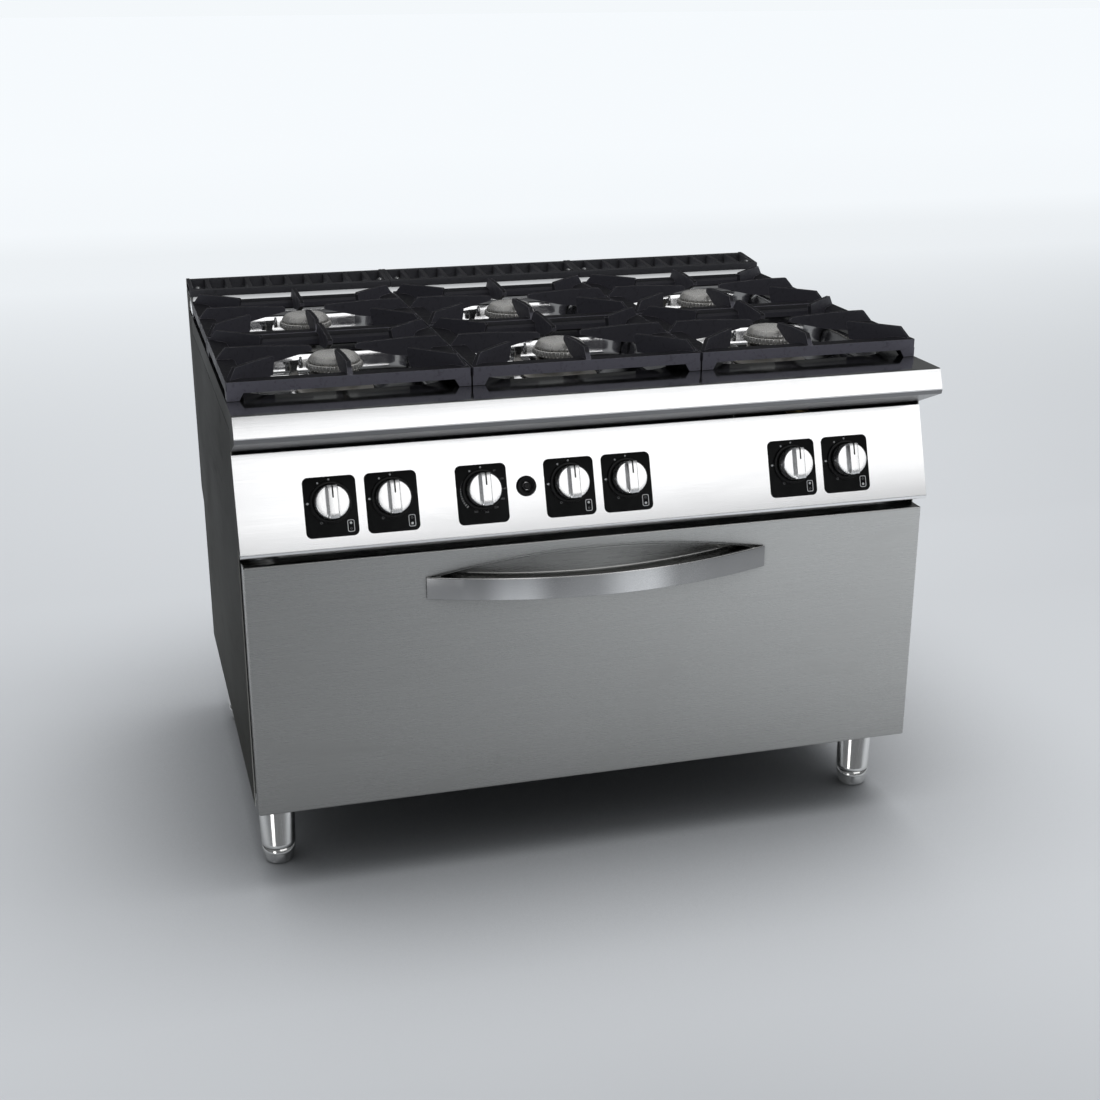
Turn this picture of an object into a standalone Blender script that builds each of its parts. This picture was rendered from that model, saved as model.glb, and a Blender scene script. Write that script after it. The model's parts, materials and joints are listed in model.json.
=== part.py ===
"""Six-burner commercial gas range on a static oven, free standing on four feet.

Metres, +Z up, front facing -Y, origin on the floor under the middle of the
object's box.  A depth is measured backwards from the door's front plane, so
world y is DOOR_Y + depth.
"""
import math

import bmesh
import bpy
from mathutils import Matrix, Vector

for old in list(bpy.data.objects):
    bpy.data.objects.remove(old, do_unlink=True)

# ---------------------------------------------------------- shared dimensions
HALF_WIDTH = 1.200 / 2
BODY_DEPTH = 0.930                  # lip front to rear edge
LIP_FRONT = -0.037                  # depth of the worktop lip's front
REAR = LIP_FRONT + BODY_DEPTH       # depth of the rear face of the flue
HANDLE_BOW = 0.064                  # how far the handle stands off the door
DOOR_Y = -(REAR - HANDLE_BOW) / 2

TOP_Z = 0.850                       # worktop
RISER_TOP_Z = 0.8862                # flue riser and raised rear of the sides
FLUE_Z = 0.908                      # top of the flue castings
BODY_Z = 0.150                      # underside of the side panels
SHEET = 0.0015                      # body sheet thickness
GAP = 0.0004                        # clearance between touching pieces
INNER_HALF = HALF_WIDTH - 2 * SHEET # half width between the side panels

LIP_BOTTOM_Z = 0.8135               # lower edge of the worktop's side skirts
LIP_BACK = 0.0415                   # rear end of the lip's sloped underside

OVEN_HALF = 0.505                   # cavity
OVEN_Z0, OVEN_Z1 = 0.200, 0.570
OVEN_FRONT, OVEN_BACK = 0.0594, 0.730

# Each burner sits in the middle of a rectangular cell of the worktop.
CELL_X, CELL_Y = 0.200, 0.179       # half sizes of a cell
COLUMNS = (-2 * CELL_X, 0.0, 2 * CELL_X)
ROWS = (0.247, 0.247 + 2 * CELL_Y)
BURNERS = [(x, depth) for depth in ROWS for x in COLUMNS]
WELL_FLOOR = 0.816

RAIL_DEPTH, RAIL_Z = 0.104, 0.658   # gas rail axis
INLET_X = 0.556                     # inlet pipe, at the rail's height

LEG_X = 0.557
LEG_DEPTHS = (0.118, 0.735)
FOOT_TOP = 0.0325                   # top of a foot's collar

HINGE_DEPTH, HINGE_Z = 0.030, 0.162

# control panel face, as (depth, z)
PANEL_TOP = Vector((0.041, 0.7715))
PANEL_BOTTOM = Vector((-0.013, 0.6116))
SLOPE = (PANEL_BOTTOM - PANEL_TOP).normalized()
KNOB_DROP = 0.0871                  # down the slope from the upper edge
KNOB_X = (-0.450, -0.350, -0.200, -0.050, 0.050, 0.350, 0.450)
IGNITER_X = -0.1245


def world_y(depth):
    return DOOR_Y + depth


def world_ys(*depths):
    return [world_y(depth) for depth in depths]


# Drawing planes: the first two values lie in the plane, the third crosses it.
def side_view(depth, z, x):
    return (x, world_y(depth), z)


def front_view(x, z, depth):
    return (x, world_y(depth), z)


def plan_view(x, depth, z):
    return (x, world_y(depth), z)


def local_plan(x, y, z):
    return (x, y, z)


def upright_at(x, depth):
    """Frame with its origin on the floor at a plan position."""
    return Matrix.Translation((x, world_y(depth), 0))


def panel_frame(x):
    """Frame on the panel at knob height, local Z along the outward normal."""
    point = Vector((x, world_y(PANEL_TOP.x + SLOPE.x * KNOB_DROP),
                    PANEL_TOP.y + SLOPE.y * KNOB_DROP))
    normal = Vector((0.0, SLOPE.y, -SLOPE.x))
    right = Vector((1, 0, 0))
    turn = Matrix((right, normal.cross(right), normal)).transposed().to_4x4()
    return Matrix.Translation(point) @ turn


# ------------------------------------------------------------------ materials
FINISHES = {
    "side": dict(colour=(0.075, 0.075, 0.068), roughness=0.45, metallic=1.0),
    "brushed": dict(colour=(0.30, 0.30, 0.295), roughness=0.32, metallic=1.0),
    "polished": dict(colour=(0.82, 0.82, 0.82), roughness=0.12, metallic=1.0),
    "satin": dict(colour=(0.75, 0.75, 0.76), roughness=0.25, metallic=1.0),
    "iron": dict(colour=(0.018, 0.017, 0.022), roughness=0.55, metallic=0.2),
    "nickel": dict(colour=(0.55, 0.52, 0.47), roughness=0.22, metallic=1.0),
    "galvanised": dict(colour=(0.45, 0.46, 0.47), roughness=0.45, metallic=1.0),
    "brass": dict(colour=(0.70, 0.50, 0.22), roughness=0.30, metallic=1.0),
    "silver_plastic": dict(colour=(0.62, 0.62, 0.63), roughness=0.30, metallic=0.6),
    "black_plastic": dict(colour=(0.012, 0.012, 0.013), roughness=0.35, metallic=0.0),
    "wire": dict(colour=(0.60, 0.60, 0.60), roughness=0.25, metallic=1.0),
    "rubber": dict(colour=(0.06, 0.06, 0.065), roughness=0.75, metallic=0.0),
}


def make_material(name, colour, roughness, metallic):
    material = bpy.data.materials.new(name)
    material.use_nodes = True
    shader = material.node_tree.nodes["Principled BSDF"]
    shader.inputs["Base Color"].default_value = (*colour, 1.0)
    shader.inputs["Roughness"].default_value = roughness
    shader.inputs["Metallic"].default_value = metallic
    material.diffuse_color = (*colour, 1.0)
    return material


# -------------------------------------------------------------------- objects
def to_mesh(name, shape):
    """Merge doubles, turn the normals outward and store the bmesh."""
    bmesh.ops.remove_doubles(shape, verts=shape.verts, dist=1e-6)
    bmesh.ops.recalc_face_normals(shape, faces=shape.faces)
    data = bpy.data.meshes.new(name)
    shape.to_mesh(data)
    shape.free()
    return data


def place(name, data, frame=None, parent=None):
    item = bpy.data.objects.new(name, data)
    bpy.context.scene.collection.objects.link(item)
    if parent is not None:
        item.parent = parent
    elif frame is not None:
        item.matrix_world = frame
    return item


def to_object(name, shape, finish, smooth=None, frame=None, parent=None):
    """Object from a bmesh drawn in world space, or in `frame` when given.

    A parented object takes its parent's origin.  `smooth` is the angle in
    degrees above which edges stay sharp.
    """
    data = to_mesh(name, shape)
    if parent is not None:
        data.transform(Matrix.Translation(-parent.location))
    data.materials.append(make_material(name + "_" + finish, **FINISHES[finish]))
    if smooth is not None:
        data.shade_smooth()
        data.set_sharp_from_angle(angle=math.radians(smooth))
    return place(name, data, frame, parent)


def place_series(prefix, shape, finish, frames, smooth=None):
    """Numbered objects that share one mesh, one per frame."""
    first = to_object(f"{prefix}_1", shape, finish, smooth, frames[0])
    for number, frame in enumerate(frames[1:], 2):
        place(f"{prefix}_{number}", first.data, frame)


# --------------------------------------------- shapes, each one a new bmesh
def box(x_span, y_span, z_span, frame=None):
    shape = bmesh.new()
    corners = [shape.verts.new((x, y, z)) for x in x_span for y in y_span for z in z_span]
    for face in ((0, 1, 3, 2), (4, 6, 7, 5), (0, 4, 5, 1),
                 (2, 3, 7, 6), (0, 2, 6, 4), (1, 5, 7, 3)):
        shape.faces.new([corners[i] for i in face])
    if frame is not None:
        bmesh.ops.transform(shape, matrix=frame, verts=corners)
    return shape


def stacked(loops):
    """Solid through successive point loops, capped on the first and last."""
    shape = bmesh.new()
    rings = [[shape.verts.new(point) for point in loop] for loop in loops]
    shape.faces.new(rings[0])
    shape.faces.new(rings[-1][::-1])
    for low, high in zip(rings, rings[1:]):
        for i in range(len(low)):
            j = (i + 1) % len(low)
            shape.faces.new((low[j], low[i], high[i], high[j]))
    return shape


def prism(outline, to_world, start, end):
    """Extrude an outline in a drawing plane from start to end."""
    return stacked([[to_world(*point, across) for point in outline] for across in (start, end)])


def rectangles(stations):
    """Upright rectangular loops from (half width, z low, z high, depth) rows."""
    return [[front_view(x, z, depth)
             for x, z in ((-half, low), (half, low), (half, high), (-half, high))]
            for half, low, high, depth in stations]


def lathe(profile, segments, frame=None):
    """Turn a (radius, height) profile about Z; both its ends are on the axis."""
    shape = bmesh.new()
    rings = []
    for radius, height in profile:
        if radius == 0:
            rings.append([shape.verts.new((0, 0, height))] * segments)
            continue
        angles = [2 * math.pi * k / segments for k in range(segments)]
        rings.append([shape.verts.new((radius * math.cos(angle), radius * math.sin(angle), height))
                      for angle in angles])
    for low, high in zip(rings, rings[1:]):
        for k in range(segments):
            after = (k + 1) % segments
            face = []
            for vert in (low[k], low[after], high[after], high[k]):
                if vert not in face:
                    face.append(vert)
            if len(face) > 2:
                shape.faces.new(face)
    if frame is not None:
        bmesh.ops.transform(shape, matrix=frame, verts=shape.verts)
    return shape


def rod(start, end, radius, segments=10):
    start, end = Vector(start), Vector(end)
    length = (end - start).length
    turn = (end - start).normalized().to_track_quat("Z", "Y").to_matrix().to_4x4()
    return lathe([(0, 0), (radius, 0), (radius, length), (0, length)], segments,
                 Matrix.Translation(start) @ turn)


def sheet_profile(points, thickness):
    """Closed outline of a bent sheet: one face, thickened to its left."""
    face = [Vector(point) for point in points]
    offset = []
    for i, point in enumerate(face):
        directions = []
        if i:
            directions.append((point - face[i - 1]).normalized())
        if i < len(face) - 1:
            directions.append((face[i + 1] - point).normalized())
        normals = [Vector((-along.y, along.x)) for along in directions]
        mitre = sum(normals, Vector((0, 0))) / len(normals)
        mitre.normalize()
        mitre /= max(0.3, mitre.dot(normals[0]))
        offset.append(point + mitre * thickness)
    return [tuple(point) for point in face + offset[::-1]]


def both_edges(centres, half_width):
    return [centre + side for centre in centres for side in (-half_width, half_width)]


def all_but_centre(i, j):
    """Solid cells of a 3 x 3 grid that makes a frame."""
    return not (i == 1 and j == 1)


def grid_plate(first_lines, second_lines, is_solid, to_world, low, high):
    """Plate made of the solid cells between two sets of grid lines.

    high is a number, or a function of the second coordinate.
    """
    shape = bmesh.new()
    verts = {}

    def vert(i, j, on_high):
        key = (i, j, on_high)
        if key not in verts:
            level = low
            if on_high:
                level = high(second_lines[j]) if callable(high) else high
            verts[key] = shape.verts.new(to_world(first_lines[i], second_lines[j], level))
        return verts[key]

    count_i, count_j = len(first_lines) - 1, len(second_lines) - 1

    def filled(i, j):
        return 0 <= i < count_i and 0 <= j < count_j and is_solid(i, j)

    for i in range(count_i):
        for j in range(count_j):
            if not filled(i, j):
                continue
            corners = ((i, j), (i + 1, j), (i + 1, j + 1), (i, j + 1))
            shape.faces.new([vert(*corner, True) for corner in corners])
            shape.faces.new([vert(*corner, False) for corner in reversed(corners)])
            for k, (step_i, step_j) in enumerate(((0, -1), (1, 0), (0, 1), (-1, 0))):
                if not filled(i + step_i, j + step_j):
                    start, end = corners[k], corners[(k + 1) % 4]
                    shape.faces.new((vert(*start, False), vert(*end, False),
                                     vert(*end, True), vert(*start, True)))
    return shape


def baked(item, tools=()):
    """The item's evaluated mesh as a bmesh; item and tools are removed."""
    depsgraph = bpy.context.evaluated_depsgraph_get()
    data = bpy.data.meshes.new_from_object(item.evaluated_get(depsgraph))
    for used in (item, *tools):
        bpy.data.objects.remove(used, do_unlink=True)
    shape = bmesh.new()
    shape.from_mesh(data)
    bpy.data.meshes.remove(data)
    return shape


def combine(first, others, operation="UNION"):
    """Union of closed shapes, or their difference from the first."""
    base = place("base", to_mesh("base", first))
    tools = [place("tool", to_mesh("tool", other)) for other in others]
    for tool in tools:
        modifier = base.modifiers.new("cut", "BOOLEAN")
        modifier.operation = operation
        modifier.solver = "EXACT"
        modifier.object = tool
    shape = baked(base, tools)
    bmesh.ops.remove_doubles(shape, verts=shape.verts, dist=2e-6)
    bmesh.ops.dissolve_degenerate(shape, edges=shape.edges, dist=2e-6)
    return shape


def solidified(surface, thickness, even=True):
    """Thicken an open surface inward."""
    item = place("surface", to_mesh("surface", surface))
    modifier = item.modifiers.new("sheet", "SOLIDIFY")
    modifier.thickness = thickness
    modifier.offset = -1.0
    modifier.use_even_offset = even
    modifier.use_rim = True
    return baked(item)


def bridge(shape, first, second, closed=True):
    """Quads between two rows of vertices; closed rows wrap round."""
    for k in range(len(first) if closed else len(first) - 1):
        after = (k + 1) % len(first)
        shape.faces.new((first[k], first[after], second[after], second[k]))


# ============================================================ cabinet casings
# side panel outline, (depth, z)
SIDE_OUTLINE = [
    (0.038, BODY_Z), (0.038, 0.6140), (-0.0060, 0.6140), (-0.0085, 0.6172),
    (0.0434, 0.7715), (0.0434, LIP_BOTTOM_Z - 0.001), (0.7974, LIP_BOTTOM_Z - 0.001),
    (0.7974, TOP_Z), (0.855, TOP_Z), (0.855, RISER_TOP_Z), (REAR, RISER_TOP_Z),
    (REAR, 0.469), (0.852, 0.448), (0.852, BODY_Z),
]
# rear panel and base tray, one face of the bent sheet, (depth, z)
REAR_FACE = [(0.8505, 0.1535), (0.8505, 0.4480), (0.8912, 0.4695), (0.8912, 0.8480)]
TRAY_FACE = [(0.0560, 0.1660), (0.0560, 0.1512), (0.8480, 0.1512), (0.8480, 0.1800)]
TRAY_SHEET = 0.002
# leg tube, open below, (radius, z)
LEG_PROFILE = [
    (0, 0.1520), (0.032, 0.1520), (0.032, 0.1180), (0.0302, FOOT_TOP + GAP),
    (0.0262, FOOT_TOP + GAP), (0.0262, 0.1380), (0, 0.1380),
]
INLET_HOLE_RADIUS = 0.0155
LOUVRE_COUNT, LOUVRE_PITCH = 5, 0.022
LOUVRE_HALF = 0.15
LOUVRE_Z0, LOUVRE_Z1 = 0.70, 0.708  # lowest louvre
MOUTH_MARGIN = 0.003                # front frame opening round the cavity
BEND_RADIUS = 0.005                 # control panel's lower edge
BEND_STEPS = 3
RETURN_LENGTH = 0.022               # flat run behind that bend
STEM_HOLE_RADIUS = 0.0066


def build_side_panels():
    for side, name in ((-1, "side_panel_left"), (1, "side_panel_right")):
        panel = prism(SIDE_OUTLINE, side_view, side * (HALF_WIDTH - SHEET), side * HALF_WIDTH)
        to_object(name, panel, "side")


def build_rear_panel():
    panel = prism(sheet_profile(REAR_FACE, SHEET), side_view, -INNER_HALF, INNER_HALF)
    cuts = [rod((INLET_X, world_y(0.87), RAIL_Z), (INLET_X, world_y(0.91), RAIL_Z),
                INLET_HOLE_RADIUS, 16)]
    for k in range(LOUVRE_COUNT):
        rise = LOUVRE_PITCH * k
        cuts.append(box((-LOUVRE_HALF, LOUVRE_HALF), world_ys(0.88, 0.90),
                        (LOUVRE_Z0 + rise, LOUVRE_Z1 + rise)))
    to_object("rear_panel", combine(panel, cuts, "DIFFERENCE"), "galvanised")


def build_base_frame():
    """Base tray with its four leg tubes."""
    tray = prism(sheet_profile(TRAY_FACE, TRAY_SHEET), side_view, -INNER_HALF, INNER_HALF)
    legs = [lathe(LEG_PROFILE, 16, upright_at(side * LEG_X, depth))
            for side in (-1, 1) for depth in LEG_DEPTHS]
    to_object("base_frame", combine(tray, legs), "satin", smooth=35)


def build_front_frame():
    """Flat frame round the oven mouth."""
    mouth_half = OVEN_HALF + MOUTH_MARGIN
    x_lines = (-INNER_HALF, -mouth_half, mouth_half, INNER_HALF)
    z_lines = (0.1680, OVEN_Z0 - MOUTH_MARGIN, OVEN_Z1 + MOUTH_MARGIN, 0.6400)
    frame = grid_plate(x_lines, z_lines, all_but_centre, front_view, 0.0575, 0.0575 + SHEET)
    to_object("front_frame", frame, "satin")


def build_control_panel():
    """Sloped sheet with a rounded lower return, drilled for the stems."""
    turn = math.acos(SLOPE.x)       # from the slope to straight back
    bend_start = PANEL_BOTTOM - SLOPE * (BEND_RADIUS * math.tan(turn / 2))
    centre = bend_start + Vector((-SLOPE.y, SLOPE.x)) * BEND_RADIUS
    arm = bend_start - centre
    face = [PANEL_TOP]
    for k in range(BEND_STEPS + 1):
        angle = turn * k / BEND_STEPS
        cosine, sine = math.cos(angle), math.sin(angle)
        face.append(centre + Vector((arm.x * cosine - arm.y * sine,
                                     arm.x * sine + arm.y * cosine)))
    face.append((face[-1].x + RETURN_LENGTH, face[-1].y))
    panel = prism(sheet_profile(face, SHEET), side_view, -HALF_WIDTH, HALF_WIDTH)
    drill = [(0, -0.01), (STEM_HOLE_RADIUS, -0.01), (STEM_HOLE_RADIUS, 0.01), (0, 0.01)]
    cuts = [lathe(drill, 10, panel_frame(x)) for x in KNOB_X + (IGNITER_X,)]
    to_object("control_panel", combine(panel, cuts, "DIFFERENCE"), "satin", smooth=20)


# ==================================================================== hob top
WELL_X, WELL_Y, WELL_RADIUS = 0.160, 0.143, 0.045   # half sizes, corner radius
WELL_SLANT = 0.012                  # inset of the well floor from its rim
FLOOR_RADIUS = WELL_RADIUS - 0.010
BURNER_HOLE_RADIUS = 0.0545
HOB_REAR = 0.797
# lip section from the worktop round to the underside's rear end, (depth, z)
LIP_SECTION = [
    (LIP_BACK, TOP_Z), (-0.0215, TOP_Z), (-0.0245, 0.8480), (-0.0362, 0.8200),
    (LIP_FRONT, 0.8165), (-0.0350, 0.8085), (LIP_BACK, 0.7765),
]
CORNERS = ((1, 1), (-1, 1), (-1, -1), (1, -1))


# The hob loops have 16 points anticlockwise: 3 per corner and one mid-side.
def mid_side(corner, half_x, half_y):
    return ((0, half_y), (-half_x, 0), (0, -half_y), (half_x, 0))[corner]


def rounded_loop(half_x, half_y, radius):
    points = []
    for corner, (side_x, side_y) in enumerate(CORNERS):
        for k in range(3):
            angle = math.pi / 2 * (corner + k / 2)
            points.append((side_x * (half_x - radius) + radius * math.cos(angle),
                           side_y * (half_y - radius) + radius * math.sin(angle)))
        points.append(mid_side(corner, half_x, half_y))
    return points


def cell_loop():
    """A cell's border, with points facing those of the well's rim."""
    points = []
    near_x, near_y = WELL_X - WELL_RADIUS, WELL_Y - WELL_RADIUS
    for corner, (side_x, side_y) in enumerate(CORNERS):
        turn = [(side_x * CELL_X, side_y * near_y), (side_x * CELL_X, side_y * CELL_Y),
                (side_x * near_x, side_y * CELL_Y)]
        points += turn[::-1] if corner % 2 else turn
        points.append(mid_side(corner, CELL_X, CELL_Y))
    return points


def add_wells(shape):
    """Six worktop cells, each sunk to a well with a round burner hole."""
    angles = [math.pi / 2 + (k - 3) * math.pi / 8 for k in range(16)]
    hole = [(BURNER_HOLE_RADIUS * math.cos(angle), BURNER_HOLE_RADIUS * math.sin(angle))
            for angle in angles]
    floor = rounded_loop(WELL_X - WELL_SLANT, WELL_Y - WELL_SLANT, FLOOR_RADIUS)
    loops = [(cell_loop(), TOP_Z), (rounded_loop(WELL_X, WELL_Y, WELL_RADIUS), TOP_Z),
             (floor, WELL_FLOOR), (hole, WELL_FLOOR)]
    for column in COLUMNS:
        for row in ROWS:
            rings = [[shape.verts.new(plan_view(column + x, row + y, z)) for x, y in points]
                     for points, z in loops]
            for outer, inner in zip(rings, rings[1:]):
                bridge(shape, outer, inner)
    bmesh.ops.remove_doubles(shape, verts=shape.verts, dist=1e-5)


def build_hob_top():
    shape = bmesh.new()
    add_wells(shape)

    def worktop_row(depth):
        """Worktop vertices at one depth, left to right."""
        row = [vert for vert in shape.verts if abs(vert.co.y - world_y(depth)) < 1e-5
               and abs(vert.co.z - TOP_Z) < 1e-6]
        return sorted(row, key=lambda vert: vert.co.x)

    def copy_row(row, depth, z):
        return [shape.verts.new((vert.co.x, world_y(depth), z)) for vert in row]

    rows = [worktop_row(ROWS[0] - CELL_Y)]
    for depth, z in LIP_SECTION:
        rows.append(copy_row(rows[0], depth, z))
    for first, second in zip(rows, rows[1:]):
        bridge(shape, first, second, closed=False)

    rear = worktop_row(ROWS[1] + CELL_Y)
    bridge(shape, rear, copy_row(rear, HOB_REAR, TOP_Z), closed=False)

    # side skirts, and the cap closing each end of the lip
    for side in (-1, 1):
        edge = [vert for vert in shape.verts if abs(vert.co.x - side * HALF_WIDTH) < 1e-5
                and abs(vert.co.z - TOP_Z) < 1e-6 and vert.co.y >= world_y(LIP_BACK) - 1e-6]
        edge.sort(key=lambda vert: vert.co.y)
        skirt = [shape.verts.new((vert.co.x, vert.co.y, LIP_BOTTOM_Z)) for vert in edge]
        bridge(shape, edge, skirt, closed=False)
        end = 0 if side < 0 else -1
        shape.faces.new([row[end] for row in rows[1:]] + [skirt[0]])
    to_object("hob_top", solidified(shape, SHEET), "polished", smooth=40)


# ======================================================================= flue
RISER_HALF, RISER_FRONT, RISER_BACK = 0.5978, 0.7982, 0.8890
RISER_WALL = 0.002
RISER_BOTTOM_Z = 0.8170
GRILLE_HALF = 0.1998
GRILLE_BORDER = 0.008               # at the left and right ends
GRILLE_FRONT, GRILLE_FRONT_Z = 0.7970, 0.9000
SLOT_COUNT, SLOT_PITCH, SLOT_HALF = 9, 0.040, 0.004


def build_flue_riser():
    """Polished rectangular riser behind the hob."""
    inner = RISER_HALF - RISER_WALL
    x_lines = (-RISER_HALF, -inner, inner, RISER_HALF)
    depth_lines = (RISER_FRONT, RISER_FRONT + RISER_WALL, RISER_BACK - RISER_WALL, RISER_BACK)
    riser = grid_plate(x_lines, depth_lines, all_but_centre, plan_view,
                       RISER_BOTTOM_Z, RISER_TOP_Z)
    to_object("flue_riser", riser, "polished")


def grille_top(depth):
    """The castings rise steadily towards the rear."""
    share = (depth - GRILLE_FRONT) / (REAR - GRILLE_FRONT)
    return GRILLE_FRONT_Z + (FLUE_Z - GRILLE_FRONT_Z) * share


def build_flue_grilles():
    """Three slotted castings on the riser."""
    inner = GRILLE_HALF - GRILLE_BORDER
    depth_lines = [GRILLE_FRONT, 0.8070, 0.8860, REAR]
    for place_name, centre in zip(("left", "centre", "right"), COLUMNS):
        slots = [centre + SLOT_PITCH * (k - (SLOT_COUNT - 1) / 2) for k in range(SLOT_COUNT)]
        x_lines = [centre - GRILLE_HALF, centre - inner, *both_edges(slots, SLOT_HALF),
                   centre + inner, centre + GRILLE_HALF]
        grille = grid_plate(x_lines, depth_lines, lambda i, j: j != 1 or i % 2 == 0,
                            plan_view, RISER_TOP_Z + GAP, grille_top)
        to_object("flue_grille_" + place_name, grille, "iron")


# ======================================================================= oven
LINER_WALL = 0.002
WIRE = 0.006                        # square wire of the rack and its guides
RUNNERS = (0.300, 0.385, 0.470)     # undersides of the rack runners
RACK_HALF, RACK_FRONT, RACK_DEPTH = 0.4950, 0.080, 0.620
RACK_BORDER = 0.008
RACK_Z = RUNNERS[0] + WIRE + GAP
TUBE_Z = 0.1790                     # oven burner axis
TUBE_X = 0.260                      # its side tubes
# the other tubes of the burner: start (x, depth), end (x, depth), radius
BURNER_TUBES = [
    ((TUBE_X, 0.200), (TUBE_X, 0.620), 0.011),
    ((-0.264, 0.611), (0.264, 0.611), 0.0105),
    ((-0.264, 0.209), (0.264, 0.209), 0.0105),
    ((0, 0.205), (0, 0.085), 0.0135),
]
RAIL_RADIUS, INLET_RADIUS = 0.0125, 0.0134


def build_oven_liner():
    """Box open to the front: outside back to front, then inside to the back."""
    outer = (OVEN_HALF + LINER_WALL, OVEN_Z0 - LINER_WALL, OVEN_Z1 + LINER_WALL)
    inner = (OVEN_HALF, OVEN_Z0, OVEN_Z1)
    stations = [(*outer, OVEN_BACK + LINER_WALL), (*outer, OVEN_FRONT),
                (*inner, OVEN_FRONT), (*inner, OVEN_BACK)]
    to_object("oven_liner", stacked(rectangles(stations)), "satin")


def build_oven_floor():
    """Floor plate with two rows of five slots."""
    slots = [0.18 * (k - 2) for k in range(5)]
    x_lines = [-0.470, *both_edges(slots, 0.012), 0.470]
    depth_lines = [0.085, 0.130, 0.330, 0.460, 0.660, 0.705]
    plate = grid_plate(x_lines, depth_lines, lambda i, j: not (i % 2 == 1 and j in (1, 3)),
                       plan_view, 0.2120, 0.2150)
    to_object("oven_floor_plate", plate, "galvanised")


def build_rack_guides():
    """Two side ladders of rack runners joined across the back."""
    crossbar = box((-0.5030, 0.5030), world_ys(0.7150, 0.7150 + WIRE), (0.2360, 0.2420))
    bars = []
    for side in (-1, 1):
        post_x = sorted((side * 0.5035, side * 0.4975))
        for depth in (0.110, 0.7150):
            bars.append(box(post_x, world_ys(depth, depth + WIRE), (0.2030, 0.5600)))
        runner_x = sorted((side * 0.5005, side * 0.4800))
        for z in RUNNERS:
            bars.append(box(runner_x, world_ys(0.085, 0.7180), (z, z + WIRE)))
    to_object("rack_guide_frame", combine(crossbar, bars), "wire")


def build_oven_rack():
    """Wire rack on the lowest runners, its origin at its front underside."""
    inner = RACK_HALF - RACK_BORDER
    wires = [0.100 * (k - 4) for k in range(9)]
    x_lines = [-RACK_HALF, -inner, *both_edges(wires, WIRE / 2), inner, RACK_HALF]
    y_lines = [0, RACK_BORDER, *both_edges([RACK_DEPTH / 2], WIRE / 2),
               RACK_DEPTH - RACK_BORDER, RACK_DEPTH]
    rack = grid_plate(x_lines, y_lines, lambda i, j: i % 2 == 0 or j % 2 == 0,
                      local_plan, 0, WIRE)
    to_object("oven_rack", rack, "wire",
              frame=Matrix.Translation((0, world_y(RACK_FRONT), RACK_Z)))


def build_oven_burner():
    """Tube burner under the oven floor, on two short posts."""
    first = rod(plan_view(-TUBE_X, 0.200, TUBE_Z), plan_view(-TUBE_X, 0.620, TUBE_Z), 0.011)
    others = [rod(plan_view(*start, TUBE_Z), plan_view(*end, TUBE_Z), radius)
              for start, end, radius in BURNER_TUBES]
    for x in (-TUBE_X, TUBE_X):
        others.append(box((x - 0.006, x + 0.006), world_ys(0.40, 0.42), (0.1536, 0.1800)))
    to_object("oven_burner", combine(first, others), "galvanised", smooth=40)


def build_gas_manifold():
    """Gas rail with its seven valve bodies and the rear inlet pipe."""
    rail = rod((-0.5000, world_y(RAIL_DEPTH), RAIL_Z),
               (INLET_X + 0.010, world_y(RAIL_DEPTH), RAIL_Z), RAIL_RADIUS, 12)
    others = [box((-0.015, 0.015), (-0.014, 0.014), (-0.090, -0.0420), panel_frame(x))
              for x in KNOB_X]
    others.append(rod((INLET_X, world_y(RAIL_DEPTH - 0.012), RAIL_Z),
                      (INLET_X, world_y(REAR - GAP), RAIL_Z), INLET_RADIUS, 12))
    to_object("gas_manifold", combine(rail, others), "brass", smooth=40)


# ======================================================= hob burners, grates
# cup with a flange on the well floor and a bowl below it, (radius, z)
BURNER_PROFILE = [
    (0, 0.7700), (0.0340, 0.7700), (0.0500, 0.7850), (0.0500, WELL_FLOOR + GAP),
    (0.0660, WELL_FLOOR + GAP), (0.0640, 0.8205), (0.0430, 0.8260), (0.0420, 0.8480),
    (0.0360, 0.8480), (0.0300, 0.7760), (0, 0.7760),
]
# burner cap, (radius, z)
CAP_PROFILE = [
    (0, 0.8484), (0.0340, 0.8484), (0.0490, 0.8560), (0.0490, 0.8655),
    (0.0450, 0.8690), (0.0370, 0.8790), (0, 0.8825),
]

GRATE_X, GRATE_Y = 0.1985, 0.1765   # half sizes
GRATE_LOW, GRATE_Z = 0.863, 0.881   # underside and top of the grate frame
BAR = 0.033                         # width of the frame's bars
FIN_Z = 0.900                       # top of the pan fins
FIN_FOOT_Z = 0.866
FIN_SHOULDER_Z = 0.8815
FOOT_WIDE, FOOT_NARROW = 0.027, 0.020   # grate foot at its top and bottom
# fin outlines, (distance from the outer end, z)
CORNER_FIN = [(0.004, FIN_FOOT_Z), (0.004, FIN_SHOULDER_Z), (0.020, FIN_Z),
              (0.117, FIN_Z), (0.110, 0.868)]


def side_fin(length):
    return [(0, FIN_FOOT_Z), (0, FIN_SHOULDER_Z), (0.015, FIN_Z), (0.105, FIN_Z),
            (length, 0.8950), (length, 0.8855), (0.090, 0.8700), (0.040, 0.8640)]


# side fins: outer end (x, y), outline; each points at the grate's middle
SIDE_FINS = [
    ((-GRATE_X + 0.001, 0), side_fin(0.1600)), ((GRATE_X - 0.001, 0), side_fin(0.1600)),
    ((0, -GRATE_Y + 0.001), side_fin(0.1380)), ((0, GRATE_Y - 0.001), side_fin(0.1380)),
]


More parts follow.
